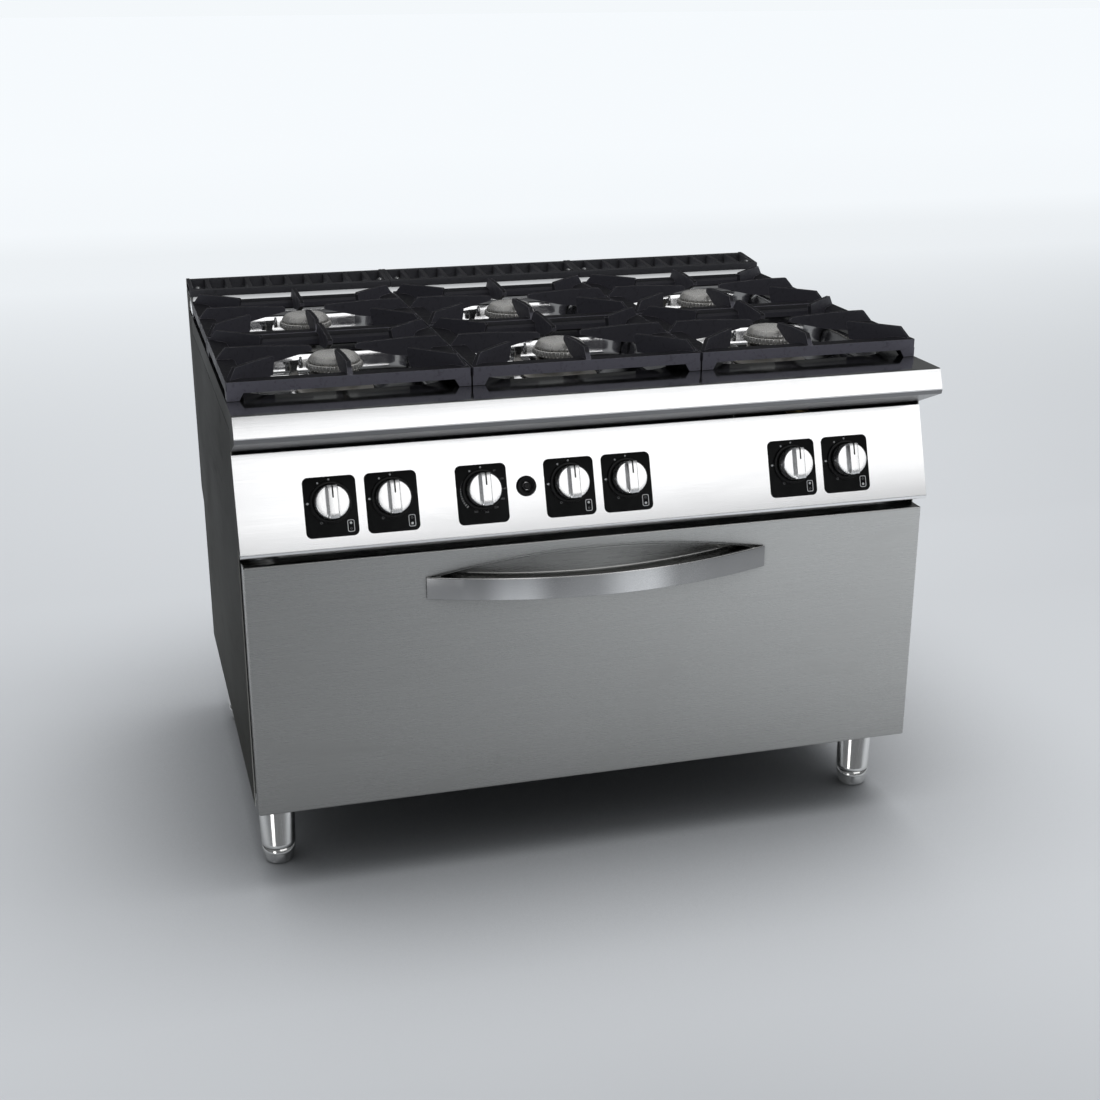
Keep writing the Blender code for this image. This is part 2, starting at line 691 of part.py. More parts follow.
def build_burners():
    for number, (x, depth) in enumerate(BURNERS, 1):
        frame = upright_at(x, depth)
        to_object(f"burner_body_{number}", lathe(BURNER_PROFILE, 14, frame), "nickel", smooth=40)
        to_object(f"burner_cap_{number}", lathe(CAP_PROFILE, 16), "nickel",
                  smooth=40, frame=frame)


def fin(start, end, outline, thickness):
    """Upright plate running from start towards end, two plan points."""
    start, end = Vector((*start, 0)), Vector((*end, 0))
    along = (end - start).normalized()
    half_across = Vector((-along.y, along.x, 0)) * thickness / 2

    def to_plate(distance, z, side):
        return start + along * distance + half_across * side + Vector((0, 0, z))

    return prism(outline, to_plate, -1, 1)


def grate_foot(side_x, side_y):
    """Square foot under a corner, tapering down from its inner sides."""
    def square(size, z):
        x, y = side_x * GRATE_X, side_y * GRATE_Y
        inner_x, inner_y = x - side_x * size, y - side_y * size
        return [(x, y, z), (inner_x, y, z), (inner_x, inner_y, z), (x, inner_y, z)]

    return stacked([square(FOOT_WIDE, GRATE_LOW + 0.004), square(FOOT_NARROW, TOP_Z + GAP)])


def build_grates():
    frame = grid_plate((-GRATE_X, -GRATE_X + BAR, GRATE_X - BAR, GRATE_X),
                       (-GRATE_Y, -GRATE_Y + BAR, GRATE_Y - BAR, GRATE_Y),
                       all_but_centre, local_plan, GRATE_LOW, GRATE_Z)
    pieces = []
    for side_x in (-1, 1):
        for side_y in (-1, 1):
            x, y = side_x * GRATE_X, side_y * GRATE_Y
            pieces.append(grate_foot(side_x, side_y))
            pieces.append(fin((x - side_x * 0.003, y - side_y * 0.012),
                              (x - side_x * 0.090, y - side_y * 0.099), CORNER_FIN, 0.008))
    for start, outline in SIDE_FINS:
        pieces.append(fin(start, (0, 0), outline, 0.0085))
    place_series("grate", combine(frame, pieces), "iron",
                 [upright_at(x, depth) for x, depth in BURNERS])


# ================================================= knobs, stems and ignition
# Heights here are measured outward from the panel's face.
KNOB_FACE = 0.0290                  # disc face
GRIP_TOP = 0.0470                   # top of the grip bar
GRIP_HALF_LENGTH = 0.0252
# turned profiles, (radius, height)
KNOB_PROFILE = [(0, 0.0066), (0.0262, 0.0066), (0.0275, 0.0090),
                (0.0265, KNOB_FACE), (0, KNOB_FACE)]
BORE_PROFILE = [(0, 0.0), (0.0048, 0.0), (0.0048, 0.0235), (0, 0.0235)]
STEM_PROFILE = [(0, -0.0355), (0.0052, -0.0355), (0.0052, -0.0040),
                (0.0040, -0.0030), (0.0040, 0.0225), (0, 0.0225)]
BUTTON_PROFILE = [(0, -0.0150), (0.0085, -0.0150), (0.0085, -0.0080), (0.0060, -0.0075),
                  (0.0060, 0.0065), (0.0050, 0.0075), (0, 0.0075)]
# grip bar section, (across, height)
GRIP_OUTLINE = [(-0.0078, 0.0200), (-0.0078, KNOB_FACE), (-0.0056, GRIP_TOP),
                (0.0056, GRIP_TOP), (0.0078, KNOB_FACE), (0.0078, 0.0200)]


def build_controls():
    grip = prism(GRIP_OUTLINE, lambda across, height, along: (across, along, height),
                 -GRIP_HALF_LENGTH, GRIP_HALF_LENGTH)
    knob = combine(lathe(KNOB_PROFILE, 18), [grip])
    knob = combine(knob, [lathe(BORE_PROFILE, 8)], "DIFFERENCE")
    frames = [panel_frame(x) for x in KNOB_X]
    place_series("knob", knob, "silver_plastic", frames, smooth=35)
    place_series("valve_stem", lathe(STEM_PROFILE, 8), "brass", frames, smooth=35)
    to_object("igniter_button", lathe(BUTTON_PROFILE, 16), "black_plastic",
              smooth=35, frame=panel_frame(IGNITER_X))


# ======================================================================= feet
# foot with a stud rising inside the leg tube, (radius, z)
FOOT_PROFILE = [
    (0, 0.0), (0.0225, 0.0), (0.0250, 0.0030), (0.0262, 0.0190), (0.0290, 0.0225),
    (0.0292, FOOT_TOP), (0.0120, FOOT_TOP), (0.0120, 0.0900), (0, 0.0900),
]


def build_feet():
    spots = [(side * LEG_X, depth) for depth in LEG_DEPTHS for side in (-1, 1)]
    for number, spot in enumerate(spots, 1):
        to_object(f"foot_{number}", lathe(FOOT_PROFILE, 14), "satin",
                  smooth=35, frame=upright_at(*spot))


# ======================================================================= door
DOOR_HALF, DOOR_Z0, DOOR_Z1 = 0.597, 0.1495, 0.5946
SKIN_BACK = 0.0340                  # depth of the skin's returned edges
SKIN_SHEET = 0.0012
# lens-shaped finger recess
POCKET_Z, POCKET_RISE, POCKET_HALF = 0.5480, 0.0300, 0.2960
POCKET_TIP = 0.0015                 # half height left at the lens's tips
POCKET_STEPS = 12
# loops down into the recess: width scale, height scale, depth
POCKET_LOOPS = [(1.0, 1.0, 0.0), (0.985, 0.90, 0.006), (0.93, 0.70, 0.0200)]
# inner pan, from the plug's rear face round the flange to its hollow front:
# half width, z low, z high, depth
PAN_HALF, PAN_Z0, PAN_Z1 = DOOR_HALF - 0.004, 0.1550, 0.5890
PAN_STATIONS = [
    (0.5400, 0.1900, 0.5770, 0.0500), (0.5450, 0.1850, 0.5820, 0.0360),
    (PAN_HALF, PAN_Z0, PAN_Z1, 0.0360), (PAN_HALF, PAN_Z0, PAN_Z1, 0.0345),
    (0.5430, 0.1870, 0.5800, 0.0345), (0.5380, 0.1920, 0.5750, 0.0480),
]
HANDLE_STEPS = 20
HANDLE_Z0, HANDLE_Z1 = 0.5125, 0.5500
STRIP_OUT, STRIP_IN = 0.0034, 0.0006    # strip's faces off the door at its ends


def pocket_loop(width_scale, height_scale, depth):
    """Upper arc left to right, then lower arc right to left."""
    points = []
    for side in (1, -1):
        for k in range(POCKET_STEPS + 1):
            share = side * (-1 + 2 * k / POCKET_STEPS)
            rise = POCKET_RISE * (1 - share * share) + POCKET_TIP
            points.append(front_view(width_scale * POCKET_HALF * share,
                                     POCKET_Z + side * height_scale * rise, depth))
    return points


def build_door_skin(pivot):
    """Front sheet with the finger recess and returned edges."""
    shape = bmesh.new()
    front, back = [[shape.verts.new(point) for point in loop] for loop in rectangles(
        [(DOOR_HALF, DOOR_Z0, DOOR_Z1, depth) for depth in (0, SKIN_BACK)])]
    rings = [[shape.verts.new(point) for point in pocket_loop(*row)] for row in POCKET_LOOPS]
    edges = []
    for loop in (front, rings[0]):
        edges += [shape.edges.new((loop[k], loop[(k + 1) % len(loop)]))
                  for k in range(len(loop))]
    bmesh.ops.triangle_fill(shape, edges=edges, use_beauty=True)
    for outer, inner in zip(rings, rings[1:]):
        bridge(shape, outer, inner)
    shape.faces.new(rings[-1])
    bridge(shape, front, back)
    bmesh.ops.recalc_face_normals(shape, faces=shape.faces)
    # the open sheet's outward side is the front
    largest = max(shape.faces, key=lambda face: face.calc_area())
    if largest.normal.y > 0:
        bmesh.ops.reverse_faces(shape, faces=shape.faces)
    to_object("door_skin", solidified(shape, SKIN_SHEET, even=False), "brushed", parent=pivot)


def build_door_handle(pivot):
    """Bowed strip handle."""
    outer, inner = [], []
    for k in range(HANDLE_STEPS + 1):
        share = -1 + 2 * k / HANDLE_STEPS
        bow = (HANDLE_BOW - STRIP_OUT) * (1 - share * share)
        outer.append((0.300 * share, -STRIP_OUT - bow))
        inner.append((0.2975 * share, -STRIP_IN - bow * 0.99))
    strip = prism(outer + inner[::-1], plan_view, HANDLE_Z0, HANDLE_Z1)
    to_object("door_handle", strip, "brushed", parent=pivot)


def build_door():
    """The moving pieces, parented to an empty on the hinge axis."""
    pivot = place("door_pivot", None)
    pivot.location = (0, world_y(HINGE_DEPTH), HINGE_Z)
    build_door_skin(pivot)
    to_object("door_inner_pan", stacked(rectangles(PAN_STATIONS)), "satin", parent=pivot)
    build_door_handle(pivot)


def build_door_gasket():
    """Rubber frame round the oven mouth."""
    gasket = grid_plate((-0.524, -0.512, 0.512, 0.524), (0.1945, 0.1985, 0.5715, 0.5755),
                        all_but_centre, front_view, 0.0506, 0.0571)
    to_object("door_gasket", gasket, "rubber")


def build_hinge_pins():
    """The two pins the door turns on."""
    for side, name in ((-1, "hinge_pin_left"), (1, "hinge_pin_right")):
        start, end = [(x, world_y(HINGE_DEPTH), HINGE_Z)
                      for x in sorted((side * 0.5955, side * 0.5600))]
        to_object(name, rod(start, end, 0.0040, 12), "satin", smooth=35)


build_side_panels()
build_rear_panel()
build_base_frame()
build_front_frame()
build_control_panel()
build_hob_top()
build_flue_riser()
build_flue_grilles()
build_oven_liner()
build_oven_floor()
build_rack_guides()
build_oven_rack()
build_oven_burner()
build_gas_manifold()
build_burners()
build_grates()
build_controls()
build_feet()
build_door()
build_door_gasket()
build_hinge_pins()
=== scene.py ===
"""A six-burner gas range with an oven below.

X runs left to right as seen from the front, the front looks along -Y, and the feet stand on
z = 0. Depths are measured backwards (+Y) from the door's front plane.
"""
import json
import math

import bmesh
import bpy
from mathutils import Matrix, Vector


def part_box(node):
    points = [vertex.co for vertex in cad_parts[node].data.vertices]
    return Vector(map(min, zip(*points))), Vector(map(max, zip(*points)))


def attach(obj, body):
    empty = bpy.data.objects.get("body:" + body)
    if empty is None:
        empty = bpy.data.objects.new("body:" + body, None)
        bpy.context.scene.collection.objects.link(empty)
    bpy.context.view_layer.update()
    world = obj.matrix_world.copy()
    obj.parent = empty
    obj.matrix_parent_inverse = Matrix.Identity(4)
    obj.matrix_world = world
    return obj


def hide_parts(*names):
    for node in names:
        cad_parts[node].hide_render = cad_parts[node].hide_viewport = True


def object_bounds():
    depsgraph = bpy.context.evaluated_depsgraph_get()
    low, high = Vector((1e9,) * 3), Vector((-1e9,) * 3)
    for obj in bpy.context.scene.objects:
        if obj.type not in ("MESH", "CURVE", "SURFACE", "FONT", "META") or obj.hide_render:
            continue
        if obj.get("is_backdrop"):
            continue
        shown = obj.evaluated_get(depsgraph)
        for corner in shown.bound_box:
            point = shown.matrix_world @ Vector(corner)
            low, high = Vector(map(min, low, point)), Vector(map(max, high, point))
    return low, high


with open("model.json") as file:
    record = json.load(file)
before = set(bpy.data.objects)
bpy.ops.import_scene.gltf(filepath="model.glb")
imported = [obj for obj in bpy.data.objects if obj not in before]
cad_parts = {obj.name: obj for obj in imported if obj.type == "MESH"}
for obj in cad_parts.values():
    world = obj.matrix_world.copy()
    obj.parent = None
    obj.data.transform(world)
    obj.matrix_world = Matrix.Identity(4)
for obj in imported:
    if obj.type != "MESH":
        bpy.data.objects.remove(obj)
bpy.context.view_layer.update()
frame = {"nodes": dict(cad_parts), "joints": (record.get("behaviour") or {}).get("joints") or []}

NODES = frame["nodes"]
move = Matrix.Translation


def centre(name):
    low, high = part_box(name)
    return [(a + b) / 2 for a, b in zip(low, high)]


# ----------------------------------------------------------------- driving places
door_low, door_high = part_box("door_skin")
hob_low, hob_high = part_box("hob_top")
grate_low, grate_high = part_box("grate_1")
DOOR_Y = door_low.y
HALF_WIDTH = hob_high.x
TOP_Z = hob_high.z
BAR_YS = [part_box("grate_%d" % n)[0].y for n in (1, 4)]     # front bars of the two grate rows
COLUMNS = [centre("grate_%d" % n)[0] for n in (1, 2, 3)]
ROWS = [centre("grate_%d" % n)[1] for n in (1, 4)]
BURNERS = [(x, y) for y in ROWS for x in COLUMNS]

# the sloping control panel's own axes
JOINTS = {joint["name"]: joint for joint in frame["joints"]}
NORMAL = Vector(JOINTS["knob_turn_1"]["axis"]).normalized()
RIGHT = Vector((1, 0, 0))
UP = NORMAL.cross(RIGHT)
KNOB_AT = [Vector(JOINTS["knob_turn_%d" % n]["pos_m"]) for n in range(1, 8)]


def panel_frame(point):
    return move(point) @ Matrix((RIGHT, UP, NORMAL)).transposed().to_4x4()


def at_depth(depth):
    return DOOR_Y + depth


def side_view(depth, height, across):
    return (across, at_depth(depth), height)


# ============================================================== node trees
class Graph:
    """Short calls for building a node tree."""

    def __init__(self, tree):
        self.tree = tree

    def feed(self, socket, value):
        """Set or link a socket; None leaves it alone."""
        if value is None:
            return
        if isinstance(value, (int, float)):
            socket.default_value = value
        elif isinstance(value, tuple):
            socket.default_value = (*value, 1.0) if socket.type == "RGBA" else value
        else:
            self.tree.links.new(value, socket)

    def new(self, kind, inputs=None, **settings):
        node = self.tree.nodes.new(kind)
        for name, value in settings.items():
            setattr(node, name, value)
        for key, value in (inputs or {}).items():
            self.feed(node.inputs[key], value)
        return node

    def split(self, vector):
        return self.new("ShaderNodeSeparateXYZ", {0: vector}).outputs

    def remap(self, value, span, to=(0.0, 1.0)):
        """Carry the range `span` linearly to the range `to`."""
        return self.new("ShaderNodeMapRange", {
            "Value": value, "From Min": span[0], "From Max": span[1],
            "To Min": to[0], "To Max": to[1]}).outputs["Result"]

    def ramp(self, value, stops, interpolation="LINEAR"):
        """Colour ramp through rising (position, grey or colour) stops."""
        node = self.new("ShaderNodeValToRGB", {"Fac": value})
        node.color_ramp.interpolation = interpolation
        elements = node.color_ramp.elements
        ends = [elements[0], elements[1]]
        for end, (position, _) in zip(ends, (stops[0], stops[-1])):
            end.position = position
        for position, _ in stops[1:-1]:
            elements.new(position)
        for element, (_, shade) in zip(elements, stops):
            colour = shade if isinstance(shade, tuple) else (shade,) * 3
            element.color = (*colour, 1)
        return node.outputs["Color"]


MATERIALS = {}
SOCKETS = {
    "color": "Base Color", "rough": "Roughness", "metal": "Metallic", "normal": "Normal",
    "aniso": "Anisotropic", "rot": "Anisotropic Rotation", "tangent": "Tangent",
    "coat": "Coat Weight", "coat_rough": "Coat Roughness", "spec": "Specular IOR Level",
    "edge_tint": "Specular Tint", "emit": "Emission Color",
    "emit_strength": "Emission Strength", "sheen": "Sheen Weight"}


class Surface(Graph):
    """A material around one Principled shader, textured in object space."""

    def __init__(self, name):
        self.material = MATERIALS[name] = bpy.data.materials.new(name)
        self.material.use_nodes = True
        super().__init__(self.material.node_tree)
        self.coord = self.new("ShaderNodeTexCoord").outputs["Object"]

    def set(self, **values):
        for name, value in values.items():
            self.feed(self.tree.nodes["Principled BSDF"].inputs[SOCKETS[name]], value)

    def space(self, stretch=(1, 1, 1)):
        return self.new("ShaderNodeMapping",
                        {"Scale": stretch, "Vector": self.coord}).outputs["Vector"]

    def axis(self, index):
        return self.split(self.coord)[index]

    def noise(self, vector, scale, detail, rough, distortion=0.0):
        return self.new("ShaderNodeTexNoise", {
            "Scale": scale, "Detail": detail, "Roughness": rough,
            "Distortion": distortion, "Vector": vector}).outputs["Fac"]

    def calc(self, operation, *values):
        return self.new("ShaderNodeMath", dict(enumerate(values)),
                        operation=operation).outputs[0]

    def add(self, a, b):
        return self.calc("ADD", a, b)

    def times(self, a, b):
        return self.calc("MULTIPLY", a, b)

    def mix(self, factor, a, b):
        """Colour mix; sockets 6 and 7 and output 2 are the node's colour ones."""
        return self.new("ShaderNodeMix", {0: factor, 6: a, 7: b}, data_type="RGBA").outputs[2]

    def scale(self, colour, factor):
        return self.new("ShaderNodeVectorMath", {0: colour, "Scale": factor},
                        operation="SCALE").outputs[0]

    def bump(self, height, strength, distance, base=None):
        return self.new("ShaderNodeBump", {
            "Strength": strength, "Distance": distance, "Height": height,
            "Normal": base}).outputs["Normal"]

    def edge(self, radius, span):
        """1 on a sharp edge, 0 on a flat: how far a rounded normal leaves the true one."""
        bevel = self.new("ShaderNodeBevel", {"Radius": radius}, samples=4)
        normal = self.new("ShaderNodeNewGeometry").outputs["Normal"]
        dot = self.new("ShaderNodeVectorMath", {0: bevel.outputs["Normal"], 1: normal},
                       operation="DOT_PRODUCT")
        return self.remap(self.calc("SUBTRACT", 1.0, dot.outputs["Value"]), span=span)

    def cover(self, distance, span, to):
        """Painted shade from occlusion: the first of `to` where nearby surfaces close in, the second
        in the open.
        """
        occlusion = self.new("ShaderNodeAmbientOcclusion", {"Distance": distance}, samples=6)
        return self.remap(occlusion.outputs["AO"], span=span, to=to)

    def lean(self, toward, axis, sign, span):
        """Shading normal pushed toward a direction on the faces that look along sign*axis."""
        normal = self.new("ShaderNodeNewGeometry").outputs["Normal"]
        mask = self.remap(self.times(self.split(normal)[axis], sign), span=span)
        push = self.scale(toward, mask)
        total = self.new("ShaderNodeVectorMath", {0: normal, 1: push}, operation="ADD")
        return self.new("ShaderNodeVectorMath", {0: total.outputs[0]},
                        operation="NORMALIZE").outputs[0]


def shade(colour, factor, lift=0.0):
    return tuple(min(1.0, channel * factor + lift) for channel in colour)


# =================================================================== materials
def brushed(name, colour, rough, grain, aniso, vary, smudge=0.06, tint=1.0, grade=None, lean=None):
    """Ground stainless: long fine scratches, faint smears and cloudy polish."""
    mat = Surface(name)
    coarse = mat.noise(mat.space(grain), scale=1.0, detail=4.0, rough=0.65)
    close = mat.noise(mat.space(tuple(c * 3.1 for c in grain)), scale=1.0, detail=2.0, rough=0.5)
    cloud = mat.noise(mat.space(), scale=3.2, detail=4.0, rough=0.6, distortion=0.6)
    smear = mat.noise(mat.space((2.0, 2.0, 7.0)), scale=2.0, detail=5.0, rough=0.7,
                      distortion=1.0)
    fine = mat.add(mat.times(coarse, 0.65), mat.times(close, 0.35))
    roughness = mat.add(mat.remap(fine, span=(0.3, 0.7), to=(rough - 0.05, rough + 0.05)),
                        mat.remap(cloud, span=(0.3, 0.7), to=(-smudge * 0.5, smudge * 0.5)))
    roughness = mat.add(roughness, mat.remap(smear, span=(0.55, 0.75), to=(0.0, smudge)))
    tone = mat.mix(mat.remap(fine, span=(0.32, 0.68)),
                   shade(colour, 1 - vary), shade(colour, 1 + vary))
    tone = mat.mix(mat.remap(smear, span=(0.5, 0.8), to=(0.0, 0.12)), tone, shade(colour, 0.80))
    tangent = mat.new("ShaderNodeTangent", direction_type="RADIAL", axis="Z")
    # grade multiplies the tone by painted light and shade
    if grade:
        tone = mat.scale(tone, grade(mat))
    base = mat.lean(**lean) if lean else None
    mat.set(color=tone, rough=roughness, metal=1.0, edge_tint=(tint, tint, tint), aniso=aniso,
            rot=0.25, tangent=tangent.outputs["Tangent"],
            normal=mat.bump(fine, strength=0.35, distance=0.00002, base=base))


def polished(name, colour, rough, wave=0.0, smudge=0.05, lean=None, grade=None, reflection_glow=0.0):
    """Bright steel with a slow wave and smears; its glow setting makes its front faces glow as a
    painted reflection.
    """
    mat = Surface(name)
    big = mat.noise(mat.space(), scale=4.0, detail=2.0, rough=0.5)
    smear = mat.noise(mat.space((3, 1.5, 3)), scale=5.0, detail=6.0, rough=0.7, distortion=1.2)
    fine = mat.noise(mat.space((25, 220, 220)), scale=1.0, detail=3.0, rough=0.6)
    roughness = mat.add(mat.remap(smear, span=(0.45, 0.8), to=(rough, rough + smudge * 2)),
                        mat.remap(fine, span=(0.3, 0.7), to=(-0.02, 0.03)))
    tone = mat.mix(mat.remap(smear, span=(0.45, 0.85), to=(0.0, 0.35)),
                   colour, shade(colour, 0.86))
    base = mat.lean(**lean) if lean else None
    # grade multiplies the tone by painted light and shade
    if grade:
        tone = mat.scale(tone, grade(mat))
    if reflection_glow:       # painted reflection: the glow stands for the bright room this face mirrors through the grates
        face = mat.split(mat.new("ShaderNodeNewGeometry").outputs["Normal"])
        front = mat.remap(face[1], span=(-0.9, -0.6), to=(reflection_glow, 0.0))
        height = mat.remap(mat.axis(2), span=(0.855, 0.875), to=(0.15, 1.0))
        mat.set(emit=(0.93, 0.95, 0.97), emit_strength=mat.times(front, height))
    waves = mat.bump(big, strength=0.4, distance=wave, base=base)
    mat.set(color=tone, rough=roughness, metal=1.0,
            normal=mat.bump(fine, strength=0.15, distance=0.00001, base=waves))


def door_painted_light(mat):
    """Painted reflection and shade: the sheet is darker low down and to the left, where the floor it
    mirrors is darker, and darker still in the finger pocket as painted shade.
    """
    across = mat.remap(mat.axis(0), span=(-0.6, 0.6))
    height = mat.remap(mat.axis(2), span=(0.16, 0.65))
    gain = mat.add(mat.times(across, 0.14),
                   mat.times(height, mat.add(mat.times(across, 0.34), 0.28)))
    return mat.times(mat.add(gain, 0.57), mat.cover(0.08, span=(0.35, 0.95), to=(0.50, 1.0)))


def well_painted_shade_and_highlight(mat):
    """Painted shade where the grates stand close, and a painted highlight brightening the wells' far
    walls.
    """
    face = mat.split(mat.new("ShaderNodeNewGeometry").outputs["Normal"])
    wall = mat.remap(face[1], span=(-0.7, -0.35), to=(1.0, 0.0))
    return mat.calc("MAXIMUM", mat.times(wall, 1.25),
                    mat.cover(0.09, span=(0.35, 0.98), to=(0.10, 1.0)))


def side_painted_reflection(mat):
    """Painted reflection: brighter low down and where the sheet is seen at a glancing angle."""
    facing = mat.new("ShaderNodeLayerWeight").outputs["Facing"]
    return mat.times(mat.remap(mat.axis(2), span=(0.15, 0.60), to=(1.9, 1.0)),
                     mat.remap(facing, span=(0.20, 0.62), to=(3.4, 1.0)))


# (x, gain) along the bowed handle: painted reflection, lighter and darker bands baked into its tone
HANDLE_PAINTED_REFLECTION = (
    (-0.29, 0.60), (-0.22, 0.66), (-0.165, 1.30), (-0.145, 1.35), (-0.09, 0.68), (-0.03, 0.72),
    (0.04, 1.32), (0.065, 1.35), (0.13, 0.58), (0.21, 0.46), (0.29, 0.44))


def handle_painted_reflection(mat):
    # painted reflection: the gains lighten and darken the handle along its length
    low, high = -0.30, 0.30
    stops = [((x - low) / (high - low), gain) for x, gain in HANDLE_PAINTED_REFLECTION]
    return mat.ramp(mat.remap(mat.axis(0), span=(low, high)), stops, "EASE")


def iron(name, base, edge_grey, lift, bar_painted_light=None, slot_shade=False):
    """Matt enamelled casting: pitted skin, greyer along its edges, burnt patches.

    `lift` lightens upright faces against the tops and the front-bar lift the grates' front bars,
    both painted light; the slot setting darkens gaps with painted shade.
    """
    mat = Surface(name)
    space = mat.space()
    pits = mat.noise(space, scale=700.0, detail=3.0, rough=0.6)
    skin_noise = mat.noise(space, scale=140.0, detail=4.0, rough=0.65)
    patch = mat.noise(space, scale=14.0, detail=4.0, rough=0.6, distortion=0.8)
    edge = mat.edge(radius=0.0016, span=(0.03, 0.30))
    wear = mat.noise(space, scale=60.0, detail=3.0, rough=0.6)
    edge = mat.times(edge, mat.remap(wear, span=(0.30, 0.62), to=(0.25, 1.0)))
    geometry = mat.new("ShaderNodeNewGeometry")
    face = mat.split(geometry.outputs["True Normal"])
    # painted light: upright faces lit lighter than the tops, which stand in shade
    upright = mat.remap(mat.calc("ABSOLUTE", face[2]), span=(0.15, 0.75), to=(1.0, 0.0))
    tone = mat.mix(mat.remap(patch, span=(0.35, 0.7)), base, shade(base, 1.9))
    tone = mat.mix(upright, tone, shade(base, lift))
    if bar_painted_light:                # painted light: the front bars lit lighter than the fingers, which stand in shade
        place = mat.split(geometry.outputs["Position"])
        near = [mat.remap(mat.calc("ABSOLUTE", mat.add(place[1], -bar_y)),
                          span=(0.007, 0.010), to=(1.0, 0.0)) for bar_y in BAR_YS]
        bar = mat.times(mat.calc("MAXIMUM", *near),
                        mat.remap(face[1], span=(-0.9, -0.7), to=(1.0, 0.0)))
        tone = mat.mix(bar, tone, shade(base, bar_painted_light))
    tone = mat.mix(mat.remap(skin_noise, span=(0.55, 0.75), to=(0.0, 0.5)),
                   tone, shade(base, 2.6))
    # lighter grey along the edges
    tone = mat.mix(edge, tone, edge_grey)
    # painted shade: darker where the slots close in
    if slot_shade:
        tone = mat.scale(tone, mat.cover(0.03, span=(0.30, 0.90), to=(0.10, 1.0)))
    roughness = mat.add(mat.remap(patch, span=(0.3, 0.7), to=(0.42, 0.62)),
                        mat.remap(skin_noise, span=(0.3, 0.7), to=(-0.06, 0.08)))
    height = mat.add(mat.times(pits, 0.4), mat.times(skin_noise, 0.9))
    mat.set(color=tone, rough=roughness, metal=0.0, spec=0.20,
            normal=mat.bump(height, strength=0.5, distance=0.00035))


def cast_metal(name, colour, rough, amount, metal=1.0, tint=(0.35, 0.28, 0.20)):
    """Cast metal stained with `tint` in patches, brighter on its edges."""
    mat = Surface(name)
    space = mat.space()
    grain = mat.noise(space, scale=320.0, detail=3.0, rough=0.6)
    patch = mat.noise(space, scale=38.0, detail=4.0, rough=0.65, distortion=0.7)
    tone = mat.mix(mat.remap(patch, span=(0.42, 0.75), to=(0.0, amount)), colour, tint)
    tone = mat.mix(mat.edge(radius=0.001, span=(0.03, 0.3)), tone, shade(colour, 1.35))
    roughness = mat.add(mat.remap(patch, span=(0.3, 0.7), to=(rough - 0.05, rough + 0.12)),
                        mat.remap(grain, span=(0.3, 0.7), to=(-0.04, 0.05)))
    mat.set(color=tone, rough=roughness, metal=metal,
            normal=mat.bump(grain, strength=0.35, distance=0.00018))


def galvanised(name):
    """Zinc spangles."""
    mat = Surface(name)
    cells = mat.new("ShaderNodeTexVoronoi", {"Scale": 75.0, "Vector": mat.space()})
    random = mat.new("ShaderNodeSeparateColor", {0: cells.outputs["Color"]}).outputs
    fine = mat.noise(mat.space(), scale=260.0, detail=3.0, rough=0.6)
    mat.set(color=mat.mix(random[0], (0.36, 0.37, 0.38), (0.50, 0.51, 0.52)),
            rough=mat.remap(random[1], span=(0, 1), to=(0.34, 0.52)), metal=1.0,
            normal=mat.bump(fine, strength=0.2, distance=0.00006))


def plastic(name, colour, rough, grain=900.0, depth=0.00005, vary=0.15, spec=0.5):
    mat = Surface(name)
    space = mat.space()
    fine = mat.noise(space, scale=grain, detail=2.0, rough=0.5)
    smear = mat.noise(space, scale=45.0, detail=5.0, rough=0.7, distortion=1.0)
    tone = mat.mix(mat.remap(smear, span=(0.4, 0.75)), colour,
                   shade(colour, 1 + vary, lift=0.002))
    mat.set(color=tone,
            rough=mat.remap(smear, span=(0.35, 0.75), to=(rough - 0.04, rough + 0.09)),
            metal=0.0, coat=0.0, spec=spec, coat_rough=0.12,
            normal=mat.bump(fine, strength=0.25, distance=depth))


def enamel(name, colour):
    """Speckled oven enamel."""
    mat = Surface(name)
    space = mat.space()
    speck = mat.new("ShaderNodeTexVoronoi", {"Scale": 260.0, "Vector": space})
    soft = mat.noise(space, scale=8.0, detail=3.0, rough=0.6)
    flecks = mat.remap(speck.outputs["Distance"], span=(0.05, 0.22), to=(0.35, 0.0))
    mat.set(color=mat.mix(flecks, colour, (0.42, 0.42, 0.44)),
            rough=mat.remap(soft, span=(0.3, 0.7), to=(0.18, 0.30)), metal=0.0, coat=0.3,
            normal=mat.bump(soft, strength=0.15, distance=0.0005))


def wool(name):
    mat = Surface(name)
    fibre = mat.noise(mat.space((300, 60, 300)), scale=1.0, detail=5.0, rough=0.7,
                      distortion=1.5)
    mat.set(color=mat.mix(fibre, (0.42, 0.36, 0.22), (0.68, 0.62, 0.45)), rough=0.95, sheen=0.3,
            normal=mat.bump(fibre, strength=1.0, distance=0.002))


# front faces (or top faces) whose shading normal is tipped to catch the room
HOB_LEAN = dict(toward=(0, 0, 0.03), axis=1, sign=-1.0, span=(0.35, 0.7))
RISER_LEAN = dict(toward=(0, 0, 0.29), axis=1, sign=-1.0, span=(0.3, 0.7))
HANDLE_LEAN = dict(toward=(0, -2.5, 0), axis=2, sign=1.0, span=(0.35, 0.75))
LEG_LEAN = dict(toward=(0, 0, 0.30), axis=2, sign=1.0, span=(-3.0, -2.0))     # every face

